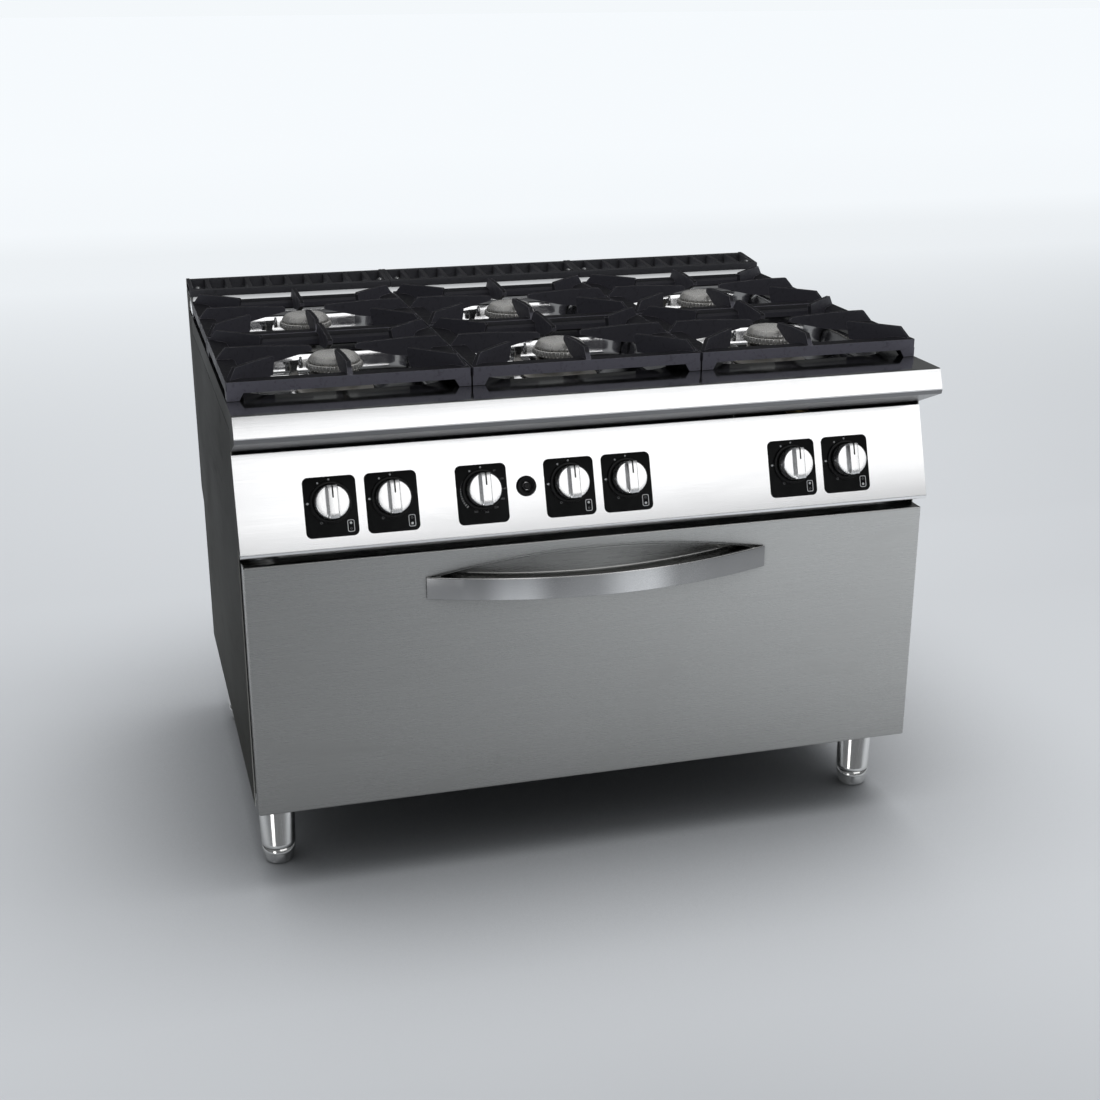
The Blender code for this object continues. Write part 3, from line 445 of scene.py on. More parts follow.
brushed("door_brushed", (0.52, 0.52, 0.508), rough=0.27, grain=(4, 900, 900), aniso=0.55,
        vary=0.05, grade=door_painted_light)
brushed("panel_satin", (0.93, 0.93, 0.935), rough=0.22, grain=(4, 1100, 1100), aniso=0.4,
        vary=0.025, smudge=0.03)
# painted shade: the side sheet's dark base colour and dark edge tint stand for the shadowed floor it
# mirrors
brushed("side_sheet", (0.085, 0.085, 0.079), rough=0.40, grain=(900, 4, 900), aniso=0.3,
        vary=0.07, tint=0.22, grade=side_painted_reflection)
brushed("under_lip_satin", (0.24, 0.24, 0.245), rough=0.34, grain=(4, 900, 900), aniso=0.3,
        vary=0.05)
brushed("frame_satin", (0.55, 0.55, 0.55), rough=0.32, grain=(6, 700, 700), aniso=0.3, vary=0.05)
# painted shade: dark grey for the cross bar that fills the shadow gap
brushed("shadow_gap_dark", (0.10, 0.10, 0.10), rough=0.45, grain=(6, 700, 700), aniso=0.2, vary=0.08)
polished("hob_polished", (0.78, 0.78, 0.785), rough=0.10, wave=0.0003, lean=HOB_LEAN,
         grade=well_painted_shade_and_highlight)
polished("riser_polished", (0.97, 0.97, 0.975), rough=0.20, wave=0.0001, smudge=0.02,
         lean=RISER_LEAN, reflection_glow=0.95)
brushed("handle_brushed", (0.62, 0.62, 0.62), rough=0.24, grain=(6, 1200, 1200), aniso=0.5,
        vary=0.05, grade=handle_painted_reflection, lean=HANDLE_LEAN)
brushed("leg_satin", (0.72, 0.72, 0.71), rough=0.14, grain=(900, 900, 4), aniso=0.0, vary=0.05,
        smudge=0.03, lean=LEG_LEAN)
iron("cast_iron", (0.0046, 0.0045, 0.0055), edge_grey=(0.22, 0.215, 0.235), lift=11.0, bar_painted_light=33.0)
iron("flue_iron", (0.012, 0.012, 0.0135), edge_grey=(0.16, 0.16, 0.165), lift=6.0, slot_shade=True)
cast_metal("nickel", (0.66, 0.65, 0.63), rough=0.24, tint=(0.42, 0.39, 0.35), amount=0.30,
           metal=0.68)
cast_metal("nickel_body", (0.34, 0.33, 0.31), rough=0.36, amount=0.4, metal=0.8)
polished("chrome", (0.90, 0.90, 0.91), rough=0.07, smudge=0.03)
polished("chromed_wire", (0.72, 0.72, 0.73), rough=0.14)
cast_metal("brass", (0.72, 0.52, 0.24), rough=0.26, tint=(0.40, 0.24, 0.10), amount=0.3)
galvanised("galvanised")
plastic("plate_black", (0.0058, 0.0062, 0.0062), rough=0.42, grain=1400.0, depth=0.00002,
        vary=0.5, spec=0.12)
plastic("collar_black", (0.0055, 0.0055, 0.0058), rough=0.28, grain=1200.0, depth=0.00002,
        vary=0.5, spec=0.18)
brushed("knob_silver", (0.96, 0.96, 0.96), rough=0.27, grain=(900, 30, 900), aniso=0.0,
        vary=0.03, smudge=0.05)
plastic("pointer_black", (0.006, 0.006, 0.006), rough=0.4)
plastic("mark_white", (0.80, 0.80, 0.80), rough=0.5, vary=0.05)
plastic("mark_grey", (0.22, 0.22, 0.22), rough=0.5, vary=0.1)
plastic("gasket_rubber", (0.030, 0.030, 0.033), rough=0.62, grain=500.0, depth=0.0002, vary=0.4)
enamel("oven_enamel", (0.020, 0.022, 0.028))
wool("insulation")
plastic("ceramic", (0.80, 0.78, 0.72), rough=0.35, vary=0.08)     # on no piece yet


# ==================================================================== builders
def to_mesh(shape):
    mesh = bpy.data.meshes.new("m")
    shape.to_mesh(mesh)
    shape.free()
    return mesh


def solid_mesh(shape):
    bmesh.ops.remove_doubles(shape, verts=shape.verts, dist=1e-6)
    bmesh.ops.recalc_face_normals(shape, faces=shape.faces)
    return to_mesh(shape)


def sheet_mesh(shape, reference, outward):
    """Finish an open sheet so that its face `reference` looks `outward`."""
    bmesh.ops.recalc_face_normals(shape, faces=shape.faces)
    if reference.normal.dot(Vector(outward)) < 0:
        bmesh.ops.reverse_faces(shape, faces=shape.faces)
    return to_mesh(shape)


def largest_face(shape):
    return max(shape.faces, key=lambda face: face.calc_area())


def piece(name, mesh, material, body, replaces=None, smooth=35, bevel=None, matrix=None,
          segments=2, solidify=None):
    """Make an object of a mesh or BMesh; `smooth` is its sharp-edge angle in degrees."""
    if isinstance(mesh, bmesh.types.BMesh):
        mesh = solid_mesh(mesh)
    mesh.name = name
    ob = bpy.data.objects.new(name, mesh)
    bpy.context.scene.collection.objects.link(ob)
    if not mesh.materials:
        mesh.materials.append(MATERIALS[material])
    mesh.shade_smooth()
    mesh.set_sharp_from_angle(angle=math.radians(smooth))
    if matrix is not None:
        ob.matrix_world = matrix
    if solidify:
        sheet = ob.modifiers.new("sheet", "SOLIDIFY")
        sheet.thickness = solidify
        sheet.offset = -1.0
        sheet.use_even_offset = True
    if bevel:
        edges = ob.modifiers.new("edges", "BEVEL")
        edges.width = bevel
        edges.segments = segments
        edges.limit_method = "ANGLE"
        edges.angle_limit = math.radians(32)
        edges.harden_normals = True
    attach(ob, body)
    if replaces:
        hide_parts(replaces)


def repeat(mesh, number):
    """The mesh itself for the first piece, a copy for each later one."""
    return mesh if number == 1 else mesh.copy()


def recoat(name, material):
    """Give a CAD part that keeps its shape a new material."""
    materials = NODES[name].data.materials
    materials.clear()
    materials.append(MATERIALS[material])


def skin(shape, rings, wrap=True, caps=False):
    """Join each ring of vertices to the next with quads."""
    for ring, following in zip(rings, rings[1:]):
        count = len(ring)
        for i in range(count if wrap else count - 1):
            j = (i + 1) % count
            shape.faces.new((ring[i], ring[j], following[j], following[i]))
    if caps:
        shape.faces.new(rings[0][::-1])
        shape.faces.new(rings[-1])


def flat_ring(shape, outline, z):
    return [shape.verts.new((x, y, z)) for x, y in outline]


def upright_ring(shape, outline, y):
    return [shape.verts.new((x, y, z)) for x, z in outline]


def fill_between(shape, *rings):
    """Triangles over the flat area between closed rings of vertices."""
    edges = []
    for ring in rings:
        for pair in zip(ring, ring[1:] + ring[:1]):
            edges.append(shape.edges.get(pair) or shape.edges.new(pair))
    bmesh.ops.triangle_fill(shape, edges=edges, use_beauty=True)


def box(shape, x0, x1, y0, y1, z0, z1):
    corners = [shape.verts.new((x, y, z)) for x in (x0, x1) for y in (y0, y1) for z in (z0, z1)]
    for face in ((0, 1, 3, 2), (4, 6, 7, 5), (0, 4, 5, 1), (2, 3, 7, 6), (0, 2, 6, 4),
                 (1, 5, 7, 3)):
        shape.faces.new([corners[i] for i in face])


def close_prism(shape, start, end):
    """Cap two rings and wall the space between them."""
    shape.faces.new(start)
    shape.faces.new(end[::-1])
    for i in range(len(start)):
        j = (i + 1) % len(start)
        shape.faces.new((start[j], start[i], end[i], end[j]))


def prism(shape, outline, place, start, end):
    """Extrude a 2-D outline; place(u, v, w) gives a point in space."""
    near = [shape.verts.new(place(u, v, start)) for u, v in outline]
    far = [shape.verts.new(place(u, v, end)) for u, v in outline]
    close_prism(shape, near, far)
    return shape


def lathe(shape, profile, segments, matrix=None, vary=None):
    """Turn a (radius, height) profile about Z; vary(angle, radius, height) changes radii."""
    rings, made = [], []
    for radius, height in profile:
        if radius < 1e-9:
            tip = shape.verts.new((0, 0, height))
            rings.append([tip] * segments)
            made.append(tip)
            continue
        ring = []
        for k in range(segments):
            angle = 2 * math.pi * k / segments
            reach = vary(angle, radius, height) if vary else radius
            ring.append(shape.verts.new((reach * math.cos(angle), reach * math.sin(angle),
                                         height)))
        rings.append(ring)
        made += ring
    if not (profile[0][0] < 1e-9 and profile[-1][0] < 1e-9):
        rings.append(rings[0])
    for ring, following in zip(rings, rings[1:]):
        for k in range(segments):
            j = (k + 1) % segments
            corners = []
            for vert in (ring[k], ring[j], following[j], following[k]):
                if vert not in corners:
                    corners.append(vert)
            if len(corners) > 2:
                shape.faces.new(corners)
    if matrix is not None:
        bmesh.ops.transform(shape, matrix=matrix, verts=made)
    return shape


def arc(x, y, radius, start, end, steps):
    """Points on an arc about (x, y), from one angle to the other in degrees."""
    angles = [math.radians(start + (end - start) * k / steps) for k in range(steps + 1)]
    return [(x + radius * math.cos(a), y + radius * math.sin(a)) for a in angles]


def tube(shape, path, radius, segments=12, closed=False):
    """Round wire along a path of points."""
    points = [Vector(p) for p in path]
    count = len(points)
    rings = []
    normal = None
    for i, point in enumerate(points):
        if closed:
            tangent = (points[(i + 1) % count] - points[i - 1]).normalized()
        else:
            tangent = (points[min(i + 1, count - 1)] - points[max(i - 1, 0)]).normalized()
        if normal is None:
            normal = tangent.orthogonal().normalized()
        normal = (normal - tangent * normal.dot(tangent)).normalized()
        side = tangent.cross(normal)
        angles = [2 * math.pi * k / segments for k in range(segments)]
        rings.append([shape.verts.new(
            point + (normal * math.cos(a) + side * math.sin(a)) * radius) for a in angles])
    skin(shape, rings + rings[:1] if closed else rings, caps=not closed)


def bend(path, radius):
    """Round the corners of a polyline."""
    steps = 6
    points = [Vector(p) for p in path]
    out = [points[0]]
    for before, corner, after in zip(points, points[1:], points[2:]):
        back, ahead = (before - corner).normalized(), (after - corner).normalized()
        cut = min(radius / math.tan(back.angle(ahead) / 2), (before - corner).length * 0.49,
                  (after - corner).length * 0.49)
        start, end = corner + back * cut, corner + ahead * cut
        for k in range(steps + 1):
            t = k / steps
            out.append(start * (1 - t) ** 2 + corner * (2 * t * (1 - t)) + end * t * t)
    out.append(points[-1])
    return out


def sheet_profile(line, thickness):
    """Closed outline of a sheet whose one face follows a 2-D line."""
    points = [Vector(p) for p in line]
    offset = []
    for i, point in enumerate(points):
        runs = []
        if i:
            runs.append((point - points[i - 1]).normalized())
        if i < len(points) - 1:
            runs.append((points[i + 1] - point).normalized())
        normals = [Vector((-run.y, run.x)) for run in runs]
        mean = sum(normals, Vector((0, 0))) / len(normals)
        mean.normalize()
        mean /= max(0.3, mean.dot(normals[0]))
        offset.append(point + mean * thickness)
    return [tuple(p) for p in points] + [tuple(p) for p in reversed(offset)]


def rounded(points, radius, steps=6):
    """Closed 2-D polygon with rounded corners; one radius, or one per corner."""
    out = []
    for i, point in enumerate(points):
        before, corner, after = Vector(points[i - 1]), Vector(point), Vector(
            points[(i + 1) % len(points)])
        wanted = radius[i] if isinstance(radius, (list, tuple)) else radius
        if wanted <= 0:
            out.append(tuple(corner))
            continue
        back, ahead = (before - corner).normalized(), (after - corner).normalized()
        half = back.angle(ahead) / 2
        cut = min(wanted / math.tan(half), (before - corner).length * 0.49,
                  (after - corner).length * 0.49)
        middle = corner + (back + ahead).normalized() * (cut * math.tan(half) / math.sin(half))
        start, end = corner + back * cut - middle, corner + ahead * cut - middle
        turn = math.atan2(start.x * end.y - start.y * end.x, start.dot(end))
        for k in range(steps + 1):
            cos, sin = math.cos(turn * k / steps), math.sin(turn * k / steps)
            out.append((middle.x + start.x * cos - start.y * sin,
                        middle.y + start.x * sin + start.y * cos))
    return out


def round_rect(x0, x1, y0, y1, radius, steps=6):
    return rounded([(x0, y0), (x1, y0), (x1, y1), (x0, y1)], radius, steps)


def union(first, others):
    objects = []
    for shape in [first] + others:
        ob = bpy.data.objects.new("tmp", solid_mesh(shape))
        bpy.context.scene.collection.objects.link(ob)
        objects.append(ob)
    for other in objects[1:]:
        boolean = objects[0].modifiers.new("b", "BOOLEAN")
        boolean.operation = "UNION"
        boolean.solver = "EXACT"
        boolean.object = other
    depsgraph = bpy.context.evaluated_depsgraph_get()
    mesh = bpy.data.meshes.new_from_object(objects[0].evaluated_get(depsgraph))
    for ob in objects:
        bpy.data.objects.remove(ob, do_unlink=True)
    return mesh


FACING_BACK = Matrix.Rotation(math.radians(-90), 4, "X")


def screw(shape, location, radius, height, facing=Matrix.Identity(4)):
    """Pan-head screw with a round step sunk in its top."""
    profile = [(0, -0.0006), (radius, -0.0006), (radius, height * 0.35),
               (radius * 0.86, height * 0.8), (radius * 0.60, height), (radius * 0.34, height),
               (radius * 0.28, height * 0.45), (0, height * 0.40)]
    lathe(shape, profile, 20, move(location) @ facing)


# ============================================================== cabinet sheets
recoat("side_panel_left", "side_sheet")
recoat("side_panel_right", "side_sheet")
recoat("rear_panel", "galvanised")

REAR_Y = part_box("rear_panel")[1].y
shape = bmesh.new()
for x in [-0.575 + 0.115 * k for k in range(11)]:
    for y, z in ((REAR_Y, 0.83), (REAR_Y, 0.5), (at_depth(0.8505), 0.43),
                 (at_depth(0.8505), 0.175)):
        screw(shape, (x, y + 0.0003, z), 0.004, 0.002, FACING_BACK)
piece("rear_screws", shape, "chromed_wire", "chassis")

shape = bmesh.new()
for k in range(5):
    z = 0.710 + 0.022 * k
    prism(shape, [(0.0, z - 0.0005), (0.0014, z - 0.0005), (0.009, z + 0.0078), (0.0075, z + 0.009)],
          lambda u, v, w: (w, REAR_Y - 0.009 + u - 0.0004, v), -0.149, 0.149)
piece("rear_louvres", shape, "galvanised", "chassis")

# --- front frame behind the door, with the oven mouth and its rounded corners
FRAME_SHEET = 0.0012
MOUTH_INSET = 0.002
frame_low, frame_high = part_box("front_frame")
liner_low, liner_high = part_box("oven_liner")
MOUTH_LEFT, MOUTH_RIGHT = liner_low.x + MOUTH_INSET, liner_high.x - MOUTH_INSET
MOUTH_BOTTOM, MOUTH_TOP = liner_low.z + MOUTH_INSET, liner_high.z - MOUTH_INSET
shape = bmesh.new()
mouth = round_rect(MOUTH_LEFT, MOUTH_RIGHT, MOUTH_BOTTOM, MOUTH_TOP, 0.014, 8)
outer = upright_ring(shape, round_rect(frame_low.x, frame_high.x, frame_low.z, frame_high.z,
                                       0.002, 4), frame_low.y)
inner = upright_ring(shape, mouth, frame_low.y)
turned_in = upright_ring(shape, mouth, frame_low.y + FRAME_SHEET)
fill_between(shape, outer, inner)
skin(shape, [inner, turned_in])
piece("front_frame_sheet", shape, "frame_satin", "chassis", "front_frame",
      solidify=FRAME_SHEET)

# --- base tray, upturned front and back
TRAY_LINE = ([(0.056, 0.166)] + arc(0.059, 0.1542, 0.003, 180, 270, 5) +
             arc(0.845, 0.1542, 0.003, 270, 360, 5) + [(0.848, 0.18)])     # (depth, z)
piece("base_tray", prism(bmesh.new(), sheet_profile(TRAY_LINE, 0.0018), side_view, -0.597, 0.597),
      "frame_satin", "chassis", "base_frame", bevel=0.0004)

# --- leg tubes and levelling feet: (radius, height)
LEG_PROFILE = [
    (0.018, 0.151), (0.0322, 0.151), (0.0322, 0.13), (0.0319, 0.112), (0.0308, 0.07),
    (0.0304, 0.04), (0.0303, 0.035), (0.0296, 0.0335), (0.027, 0.0335), (0.0268, 0.035),
    (0.0268, 0.14), (0.018, 0.14)]
FOOT_PROFILE = [
    (0, 0.0), (0.0205, 0.0), (0.0232, 0.0012), (0.025, 0.0038), (0.0259, 0.0066),
    (0.0261, 0.007), (0.0274, 0.019), (0.0277, 0.0206), (0.029, 0.0215), (0.0294, 0.0228),
    (0.0296, 0.025), (0.0296, 0.031), (0.029, 0.0324), (0.012, 0.0324), (0.012, 0.09), (0, 0.09)]


def foot_grips(angle, radius, height):
    """Six shallow hollows round the foot's lower part."""
    if 0.004 < height < 0.02:
        return radius * (1 - 0.055 * abs(math.cos(3 * angle)) ** 6)
    return radius


leg_mesh = solid_mesh(lathe(bmesh.new(), LEG_PROFILE, 64))
foot_mesh = solid_mesh(lathe(bmesh.new(), FOOT_PROFILE, 96, vary=foot_grips))
LEGS = [centre("foot_%d" % n)[:2] for n in range(1, 5)]
for n, (x, y) in enumerate(LEGS, 1):
    place = move((x, y, 0))
    piece("leg_tube_%d" % n, repeat(leg_mesh, n), "leg_satin", "chassis",
          matrix=place, smooth=50)
    piece("leg_foot_%d" % n, repeat(foot_mesh, n), "leg_satin", "levelling_foot_%d" % n,
          "foot_%d" % n, matrix=place, smooth=40)

# ==================================================================== worktop
LOOP = 64                                       # points round each well
WELL_X, WELL_Y, WELL_RADIUS = 0.163, 0.146, 0.05      # half sizes and corner
CELL_X = (COLUMNS[1] - COLUMNS[0]) / 2
CELL_Y = (ROWS[1] - ROWS[0]) / 2
RIM_Z = TOP_Z + 0.0006
FLOOR_Z = TOP_Z - 0.034
SKIRT_Z = 0.8137
LIP_DEPTH = hob_low.y - DOOR_Y
LIP_BACK = 0.0415                               # depth where the lip meets the top's front edge


def rect_loop(half_x, half_y, radius):
    """LOOP points of a rounded rectangle, starting mid-right, anticlockwise."""
    quarter = LOOP // 4
    straight = 3                                # points on each straight half side
    points = []
    for corner, (sx, sy, start) in enumerate(((1, 1, 0), (-1, 1, 90), (-1, -1, 180),
                                              (1, -1, 270))):
        for k in range(quarter):
            if straight <= k < quarter - straight:
                turn = 90 * (k - straight) / (quarter - 2 * straight - 1)
                angle = math.radians(start + turn)
                points.append((sx * (half_x - radius) + radius * math.cos(angle),
                               sy * (half_y - radius) + radius * math.sin(angle)))
                continue
            part = min(k, quarter - k) / straight
            if (k < straight) == (corner % 2 == 0):
                points.append((sx * half_x, sy * (half_y - radius) * part))
            else:
                points.append((sx * (half_x - radius) * part, sy * half_y))
    return points


def well_loop(inset):
    return rect_loop(WELL_X - inset, WELL_Y - inset, WELL_RADIUS - inset)


def well_levels():
    """(points, z) from the cell's border down the well to the hole under the burner."""
    flat = well_loop(-0.012)
    reach = [max(abs(x) / CELL_X, abs(y) / CELL_Y) for x, y in flat]
    border = [(x / f, y / f) for (x, y), f in zip(flat, reach)]
    levels = [(border, TOP_Z), (flat, TOP_Z), (well_loop(-0.006), RIM_Z)]
    rim_radius = 0.0035
    for angle in map(math.radians, (0, 30, 60, 80)):
        levels.append((well_loop(rim_radius * math.sin(angle) - 0.003),
                       RIM_Z - rim_radius * (1 - math.cos(angle))))
    for inset, drop in ((0.0024, 0.011), (0.0051, 0.021), (0.007, 0.028)):
        levels.append((rect_loop(WELL_X - inset, WELL_Y - inset, WELL_RADIUS - inset),
                       TOP_Z - drop))
    foot_radius = 0.007
    for angle in map(math.radians, (60, 35, 15, 0)):
        levels.append((well_loop(0.0076 + foot_radius * (1 - math.sin(angle))),
                       FLOOR_Z + foot_radius * (1 - math.cos(angle)) * 0.8))
    levels.append((rect_loop(WELL_X - 0.06, WELL_Y - 0.05, 0.07), FLOOR_Z - 0.0012))
    angles = [math.atan2(y, x) for x, y in rect_loop(0.076, 0.076, 0.0758)]
    for radius, rise in ((0.08, -0.0012), (0.075, 0.0), (0.072, 0.0004), (0.0545, 0.0004)):
        levels.append(([(radius * math.cos(a), radius * math.sin(a)) for a in angles],
                       FLOOR_Z + rise))
    return levels


def build_worktop():
    shape = bmesh.new()
    levels = well_levels()
    for cx in COLUMNS:
        for cy in ROWS:
            rings = [flat_ring(shape, [(cx + u, cy + v) for u, v in points], z)
                     for points, z in levels]
            skin(shape, rings)
            # pull the nearest border point to each true corner of the cell
            for sx in (-1, 1):
                for sy in (-1, 1):
                    corner = Vector((cx + sx * CELL_X, cy + sy * CELL_Y, TOP_Z))
                    nearest = min(rings[0], key=lambda vert: (vert.co - corner).length)
                    nearest.co = corner
    bmesh.ops.remove_doubles(shape, verts=shape.verts, dist=1e-5)

    def edge_row(y):
        row = [v for v in shape.verts if abs(v.co.y - y) < 1e-5 and abs(v.co.z - TOP_Z) < 1e-6]
        return sorted(row, key=lambda v: v.co.x)

    # front lip: (depth, z)
    lip = rounded([(LIP_BACK, TOP_Z), (LIP_DEPTH + 0.014, TOP_Z), (LIP_DEPTH + 0.0004, 0.8163),
                   (LIP_DEPTH + 0.0022, 0.808), (LIP_BACK, hob_low.z + 0.0002)],
                  [0, 0.0026, 0.004, 0.0022, 0], 7)
    rows = [edge_row(ROWS[0] - CELL_Y)]
    for depth, z in lip:
        rows.append([shape.verts.new((v.co.x, at_depth(depth), z)) for v in rows[0]])
    skin(shape, rows, wrap=False)
    rear = edge_row(ROWS[1] + CELL_Y)
    far = [shape.verts.new((v.co.x, at_depth(0.7955), TOP_Z)) for v in rear]
    skin(shape, [rear, far], wrap=False)
    for side in (-1, 1):
        edge = [v for v in shape.verts if abs(v.co.x - side * HALF_WIDTH) < 1e-5
                and abs(v.co.z - TOP_Z) < 1e-6 and v.co.y >= at_depth(LIP_BACK) - 1e-6]
        edge.sort(key=lambda v: v.co.y)
        low = [shape.verts.new((v.co.x, v.co.y, SKIRT_Z)) for v in edge]
        skin(shape, [edge, low], wrap=False)
        end = 0 if side < 0 else -1
        shape.faces.new([row[end] for row in rows[1:]] + [low[0]])
    top = [f for f in shape.faces if abs(f.calc_center_median().z - TOP_Z) < 1e-5][0]
    return sheet_mesh(shape, top, (0, 0, 1))


mesh = build_worktop()
for name in ("hob_polished", "side_sheet", "panel_satin", "under_lip_satin"):
    mesh.materials.append(MATERIALS[name])
for face in mesh.polygons:
    x, y, z = face.center
    if abs(abs(x) - HALF_WIDTH) < 1e-4:
        face.material_index = 1                 # end skirts and the lip's ends
    elif y < at_depth(LIP_DEPTH + 0.014) and z > 0.815:
        face.material_index = 2                 # lip
    elif z < 0.815 and y < at_depth(LIP_BACK):
        face.material_index = 3                 # under the lip
piece("worktop", mesh, "hob_polished", "chassis", "hob_top", smooth=38,
      solidify=0.0013)

# --- dark cross bar under the worktop's front, behind the shadow gap; its dark grey is painted shade for the gap: (depth, z)
CROSSBAR_LINE = [(0.075, 0.81), (0.054, 0.81), (0.054, 0.772), (0.066, 0.772)]
piece("front_crossbar",
      prism(bmesh.new(), sheet_profile(CROSSBAR_LINE, 0.0015), side_view, -0.5978, 0.5978),
      "shadow_gap_dark", "chassis", bevel=0.0006)

# --- riser at the back
low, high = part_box("flue_riser")
outline = round_rect(low.x, high.x, low.y, high.y, 0.006)
shape = bmesh.new()
skin(shape, [flat_ring(shape, outline, low.z), flat_ring(shape, outline, high.z)])
piece("flue_riser_sheet", shape, "riser_polished", "chassis", "flue_riser",
      solidify=0.0015, smooth=50)


# ============================================================== flue castings
def slotted_plate(shape, xs, ys, bottom, top):
    """Grid of cells with every second cell of the middle row left out; top(y) is its height."""
    cache = {}

    def vert(i, j, upper):
        if (i, j, upper) not in cache:
            z = top(ys[j]) if upper else bottom
            cache[i, j, upper] = shape.verts.new((xs[i], ys[j], z))
        return cache[i, j, upper]

    def solid(i, j):
        inside = 0 <= i < len(xs) - 1 and 0 <= j < len(ys) - 1
        return inside and (j != 1 or i % 2 == 0)

    for i in range(len(xs) - 1):
        for j in range(len(ys) - 1):
            if not solid(i, j):
                continue
            corners = ((i, j), (i + 1, j), (i + 1, j + 1), (i, j + 1))
            shape.faces.new([vert(*c, True) for c in corners])
            shape.faces.new([vert(*c, False) for c in reversed(corners)])
            for k, (di, dj) in enumerate(((0, -1), (1, 0), (0, 1), (-1, 0))):
                if not solid(i + di, j + dj):
                    a, b = corners[k], corners[(k + 1) % 4]
                    shape.faces.new((vert(*a, False), vert(*b, False), vert(*b, True),
                                     vert(*a, True)))


SLOT_PITCH, SLOT_HALF = 0.04, 0.004
END_BAR, END_WALL = 0.0085, 0.007
FLUE_SCREW_X, FLUE_SCREW_Y = 0.1825, 0.0195     # from the middle, from the front edge

for name in ("flue_grille_left", "flue_grille_centre", "flue_grille_right"):
    low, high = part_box(name)
    middle = (low.x + high.x) / 2
    front_z, back_z = low.z + 0.0134, high.z - 0.0012
    xs = [low.x, low.x + END_BAR]
    for k in range(9):
        slot_x = middle - 4 * SLOT_PITCH + SLOT_PITCH * k
        xs += [slot_x - SLOT_HALF, slot_x + SLOT_HALF]
    xs += [high.x - END_BAR, high.x]
    shape = bmesh.new()
    slotted_plate(shape, xs, [low.y, low.y + 0.01, high.y - 0.008, high.y], low.z,
                  lambda y: front_z + (back_z - front_z) * (y - low.y) / (high.y - low.y))
    # end walls stand a little proud and climb to the back
    wall = [(low.y + 0.012, low.z + 0.004), (low.y + 0.012, front_z + 0.001),
            (high.y - 0.012, high.z), (high.y, high.z), (high.y, low.z + 0.004)]
    for x0, x1 in ((low.x, low.x + END_WALL), (high.x - END_WALL, high.x)):
        prism(shape, wall, lambda u, v, w: (w, u, v), x0, x1)
    boss = [(0, low.z), (0.0085, low.z), (0.0085, front_z - 0.0002),
            (0.0062, front_z + 0.0006), (0, front_z + 0.0006)]
    screws = bmesh.new()
    for side in (-1, 1):
        x, y = middle + side * FLUE_SCREW_X, low.y + FLUE_SCREW_Y
        lathe(shape, boss, 24, move((x, y, 0)))
        screw(screws, (x, y, front_z + 0.001), 0.0046, 0.0022)
    piece(name + "_casting", shape, "flue_iron", "chassis", name, bevel=0.0009,
          segments=3)
    piece(name + "_screws", screws, "chromed_wire", "chassis")

# ============================================================= control panel
# (depth, z) down the sloping face; the first point only steers the top corner's bend
PANEL_LINE = [(0.053, 0.77), (0.041, 0.7715), (-0.013, 0.6116), (0.016, 0.6116)]
low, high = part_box("control_panel")
outline = rounded(PANEL_LINE, [0, 0.0016, 0.006, 0], 9)[1:]
piece("control_panel_sheet",
      prism(bmesh.new(), sheet_profile(outline, 0.0014), side_view, low.x, high.x),
      "panel_satin", "chassis", "control_panel", smooth=30, bevel=0.0003,
      segments=1)


def slab(shape, points, bottom, top, soften=0.0):
    """Flat shape standing on the panel, its top edge softened if asked."""
    steps = [(0, top)]
    if soften > 0:
        steps = [(0, top - soften), (0.30 * soften, top - 0.3 * soften), (soften, top)]
    rings = [flat_ring(shape, points, bottom)]
    for inset, z in steps:
        ring = []
        for k, (x, y) in enumerate(points):
            before, after = Vector(points[k - 1]), Vector(points[(k + 1) % len(points)])
            tangent = (after - before).normalized()
            ring.append((x - tangent.y * inset, y + tangent.x * inset))
        rings.append(flat_ring(shape, ring, z))
    skin(shape, rings, caps=True)


def disc(x, y, radius):
    angles = [2 * math.pi * k / 24 for k in range(24)]
    return [(x + radius * math.cos(a), y + radius * math.sin(a)) for a in angles]


def on_dial(degrees, radius):
    """Clockwise from the top, as seen from the front."""
    angle = math.radians(degrees)
    return radius * math.sin(angle), radius * math.cos(angle)


PLATE_HALF, PLATE_UP, PLATE_HEIGHT, PLATE_THICK = 0.043, 0.0417, 0.098, 0.0011
MARK_LOW, MARK_TOP = PLATE_THICK - 0.0002, PLATE_THICK + 0.0001     # heights above the panel
DIAL_RADIUS = 0.0368
GRIP_TOP, GRIP_HALF, GRIP_LENGTH = 0.0397, 0.0108, 0.0262       # the last is a half length
POINTER_HALF = 0.0013


def build_knob():
    """Round cap with a tapered grip bar across it."""
    cap = lathe(bmesh.new(), [
        (0, 0.0072), (0.025, 0.007), (0.0268, 0.0074), (0.0276, 0.0086), (0.0277, 0.011),
        (0.0273, 0.02), (0.027, 0.026)] + arc(0.0256, 0.0286, 0.0013, 0, 90, 5) +
        [(0.02, 0.03), (0, 0.03)], 96)
    foot, shoulder, crest = GRIP_HALF + 0.0012, GRIP_HALF, 0.0076
    section = rounded([(-foot, 0.028), (-shoulder, 0.0302), (-crest, GRIP_TOP),
                       (crest, GRIP_TOP), (shoulder, 0.0302), (foot, 0.028)],
                      [0, 0.0016, 0.0013, 0.0013, 0.0016, 0], 4)
    grip = bmesh.new()
    rings = []
    for k in range(13):
        y = -GRIP_LENGTH + 2 * GRIP_LENGTH * k / 12
        drop = 0.0012 if k in (0, 12) else 0.0
        limit = math.sqrt(0.0268 ** 2 - y * y) + 0.003
        rings.append([grip.verts.new((max(-limit, min(limit, x)), y, z if z < 0.029 else z - drop))
                      for x, z in section])
    skin(grip, rings, caps=True)
    return union(cap, [grip])


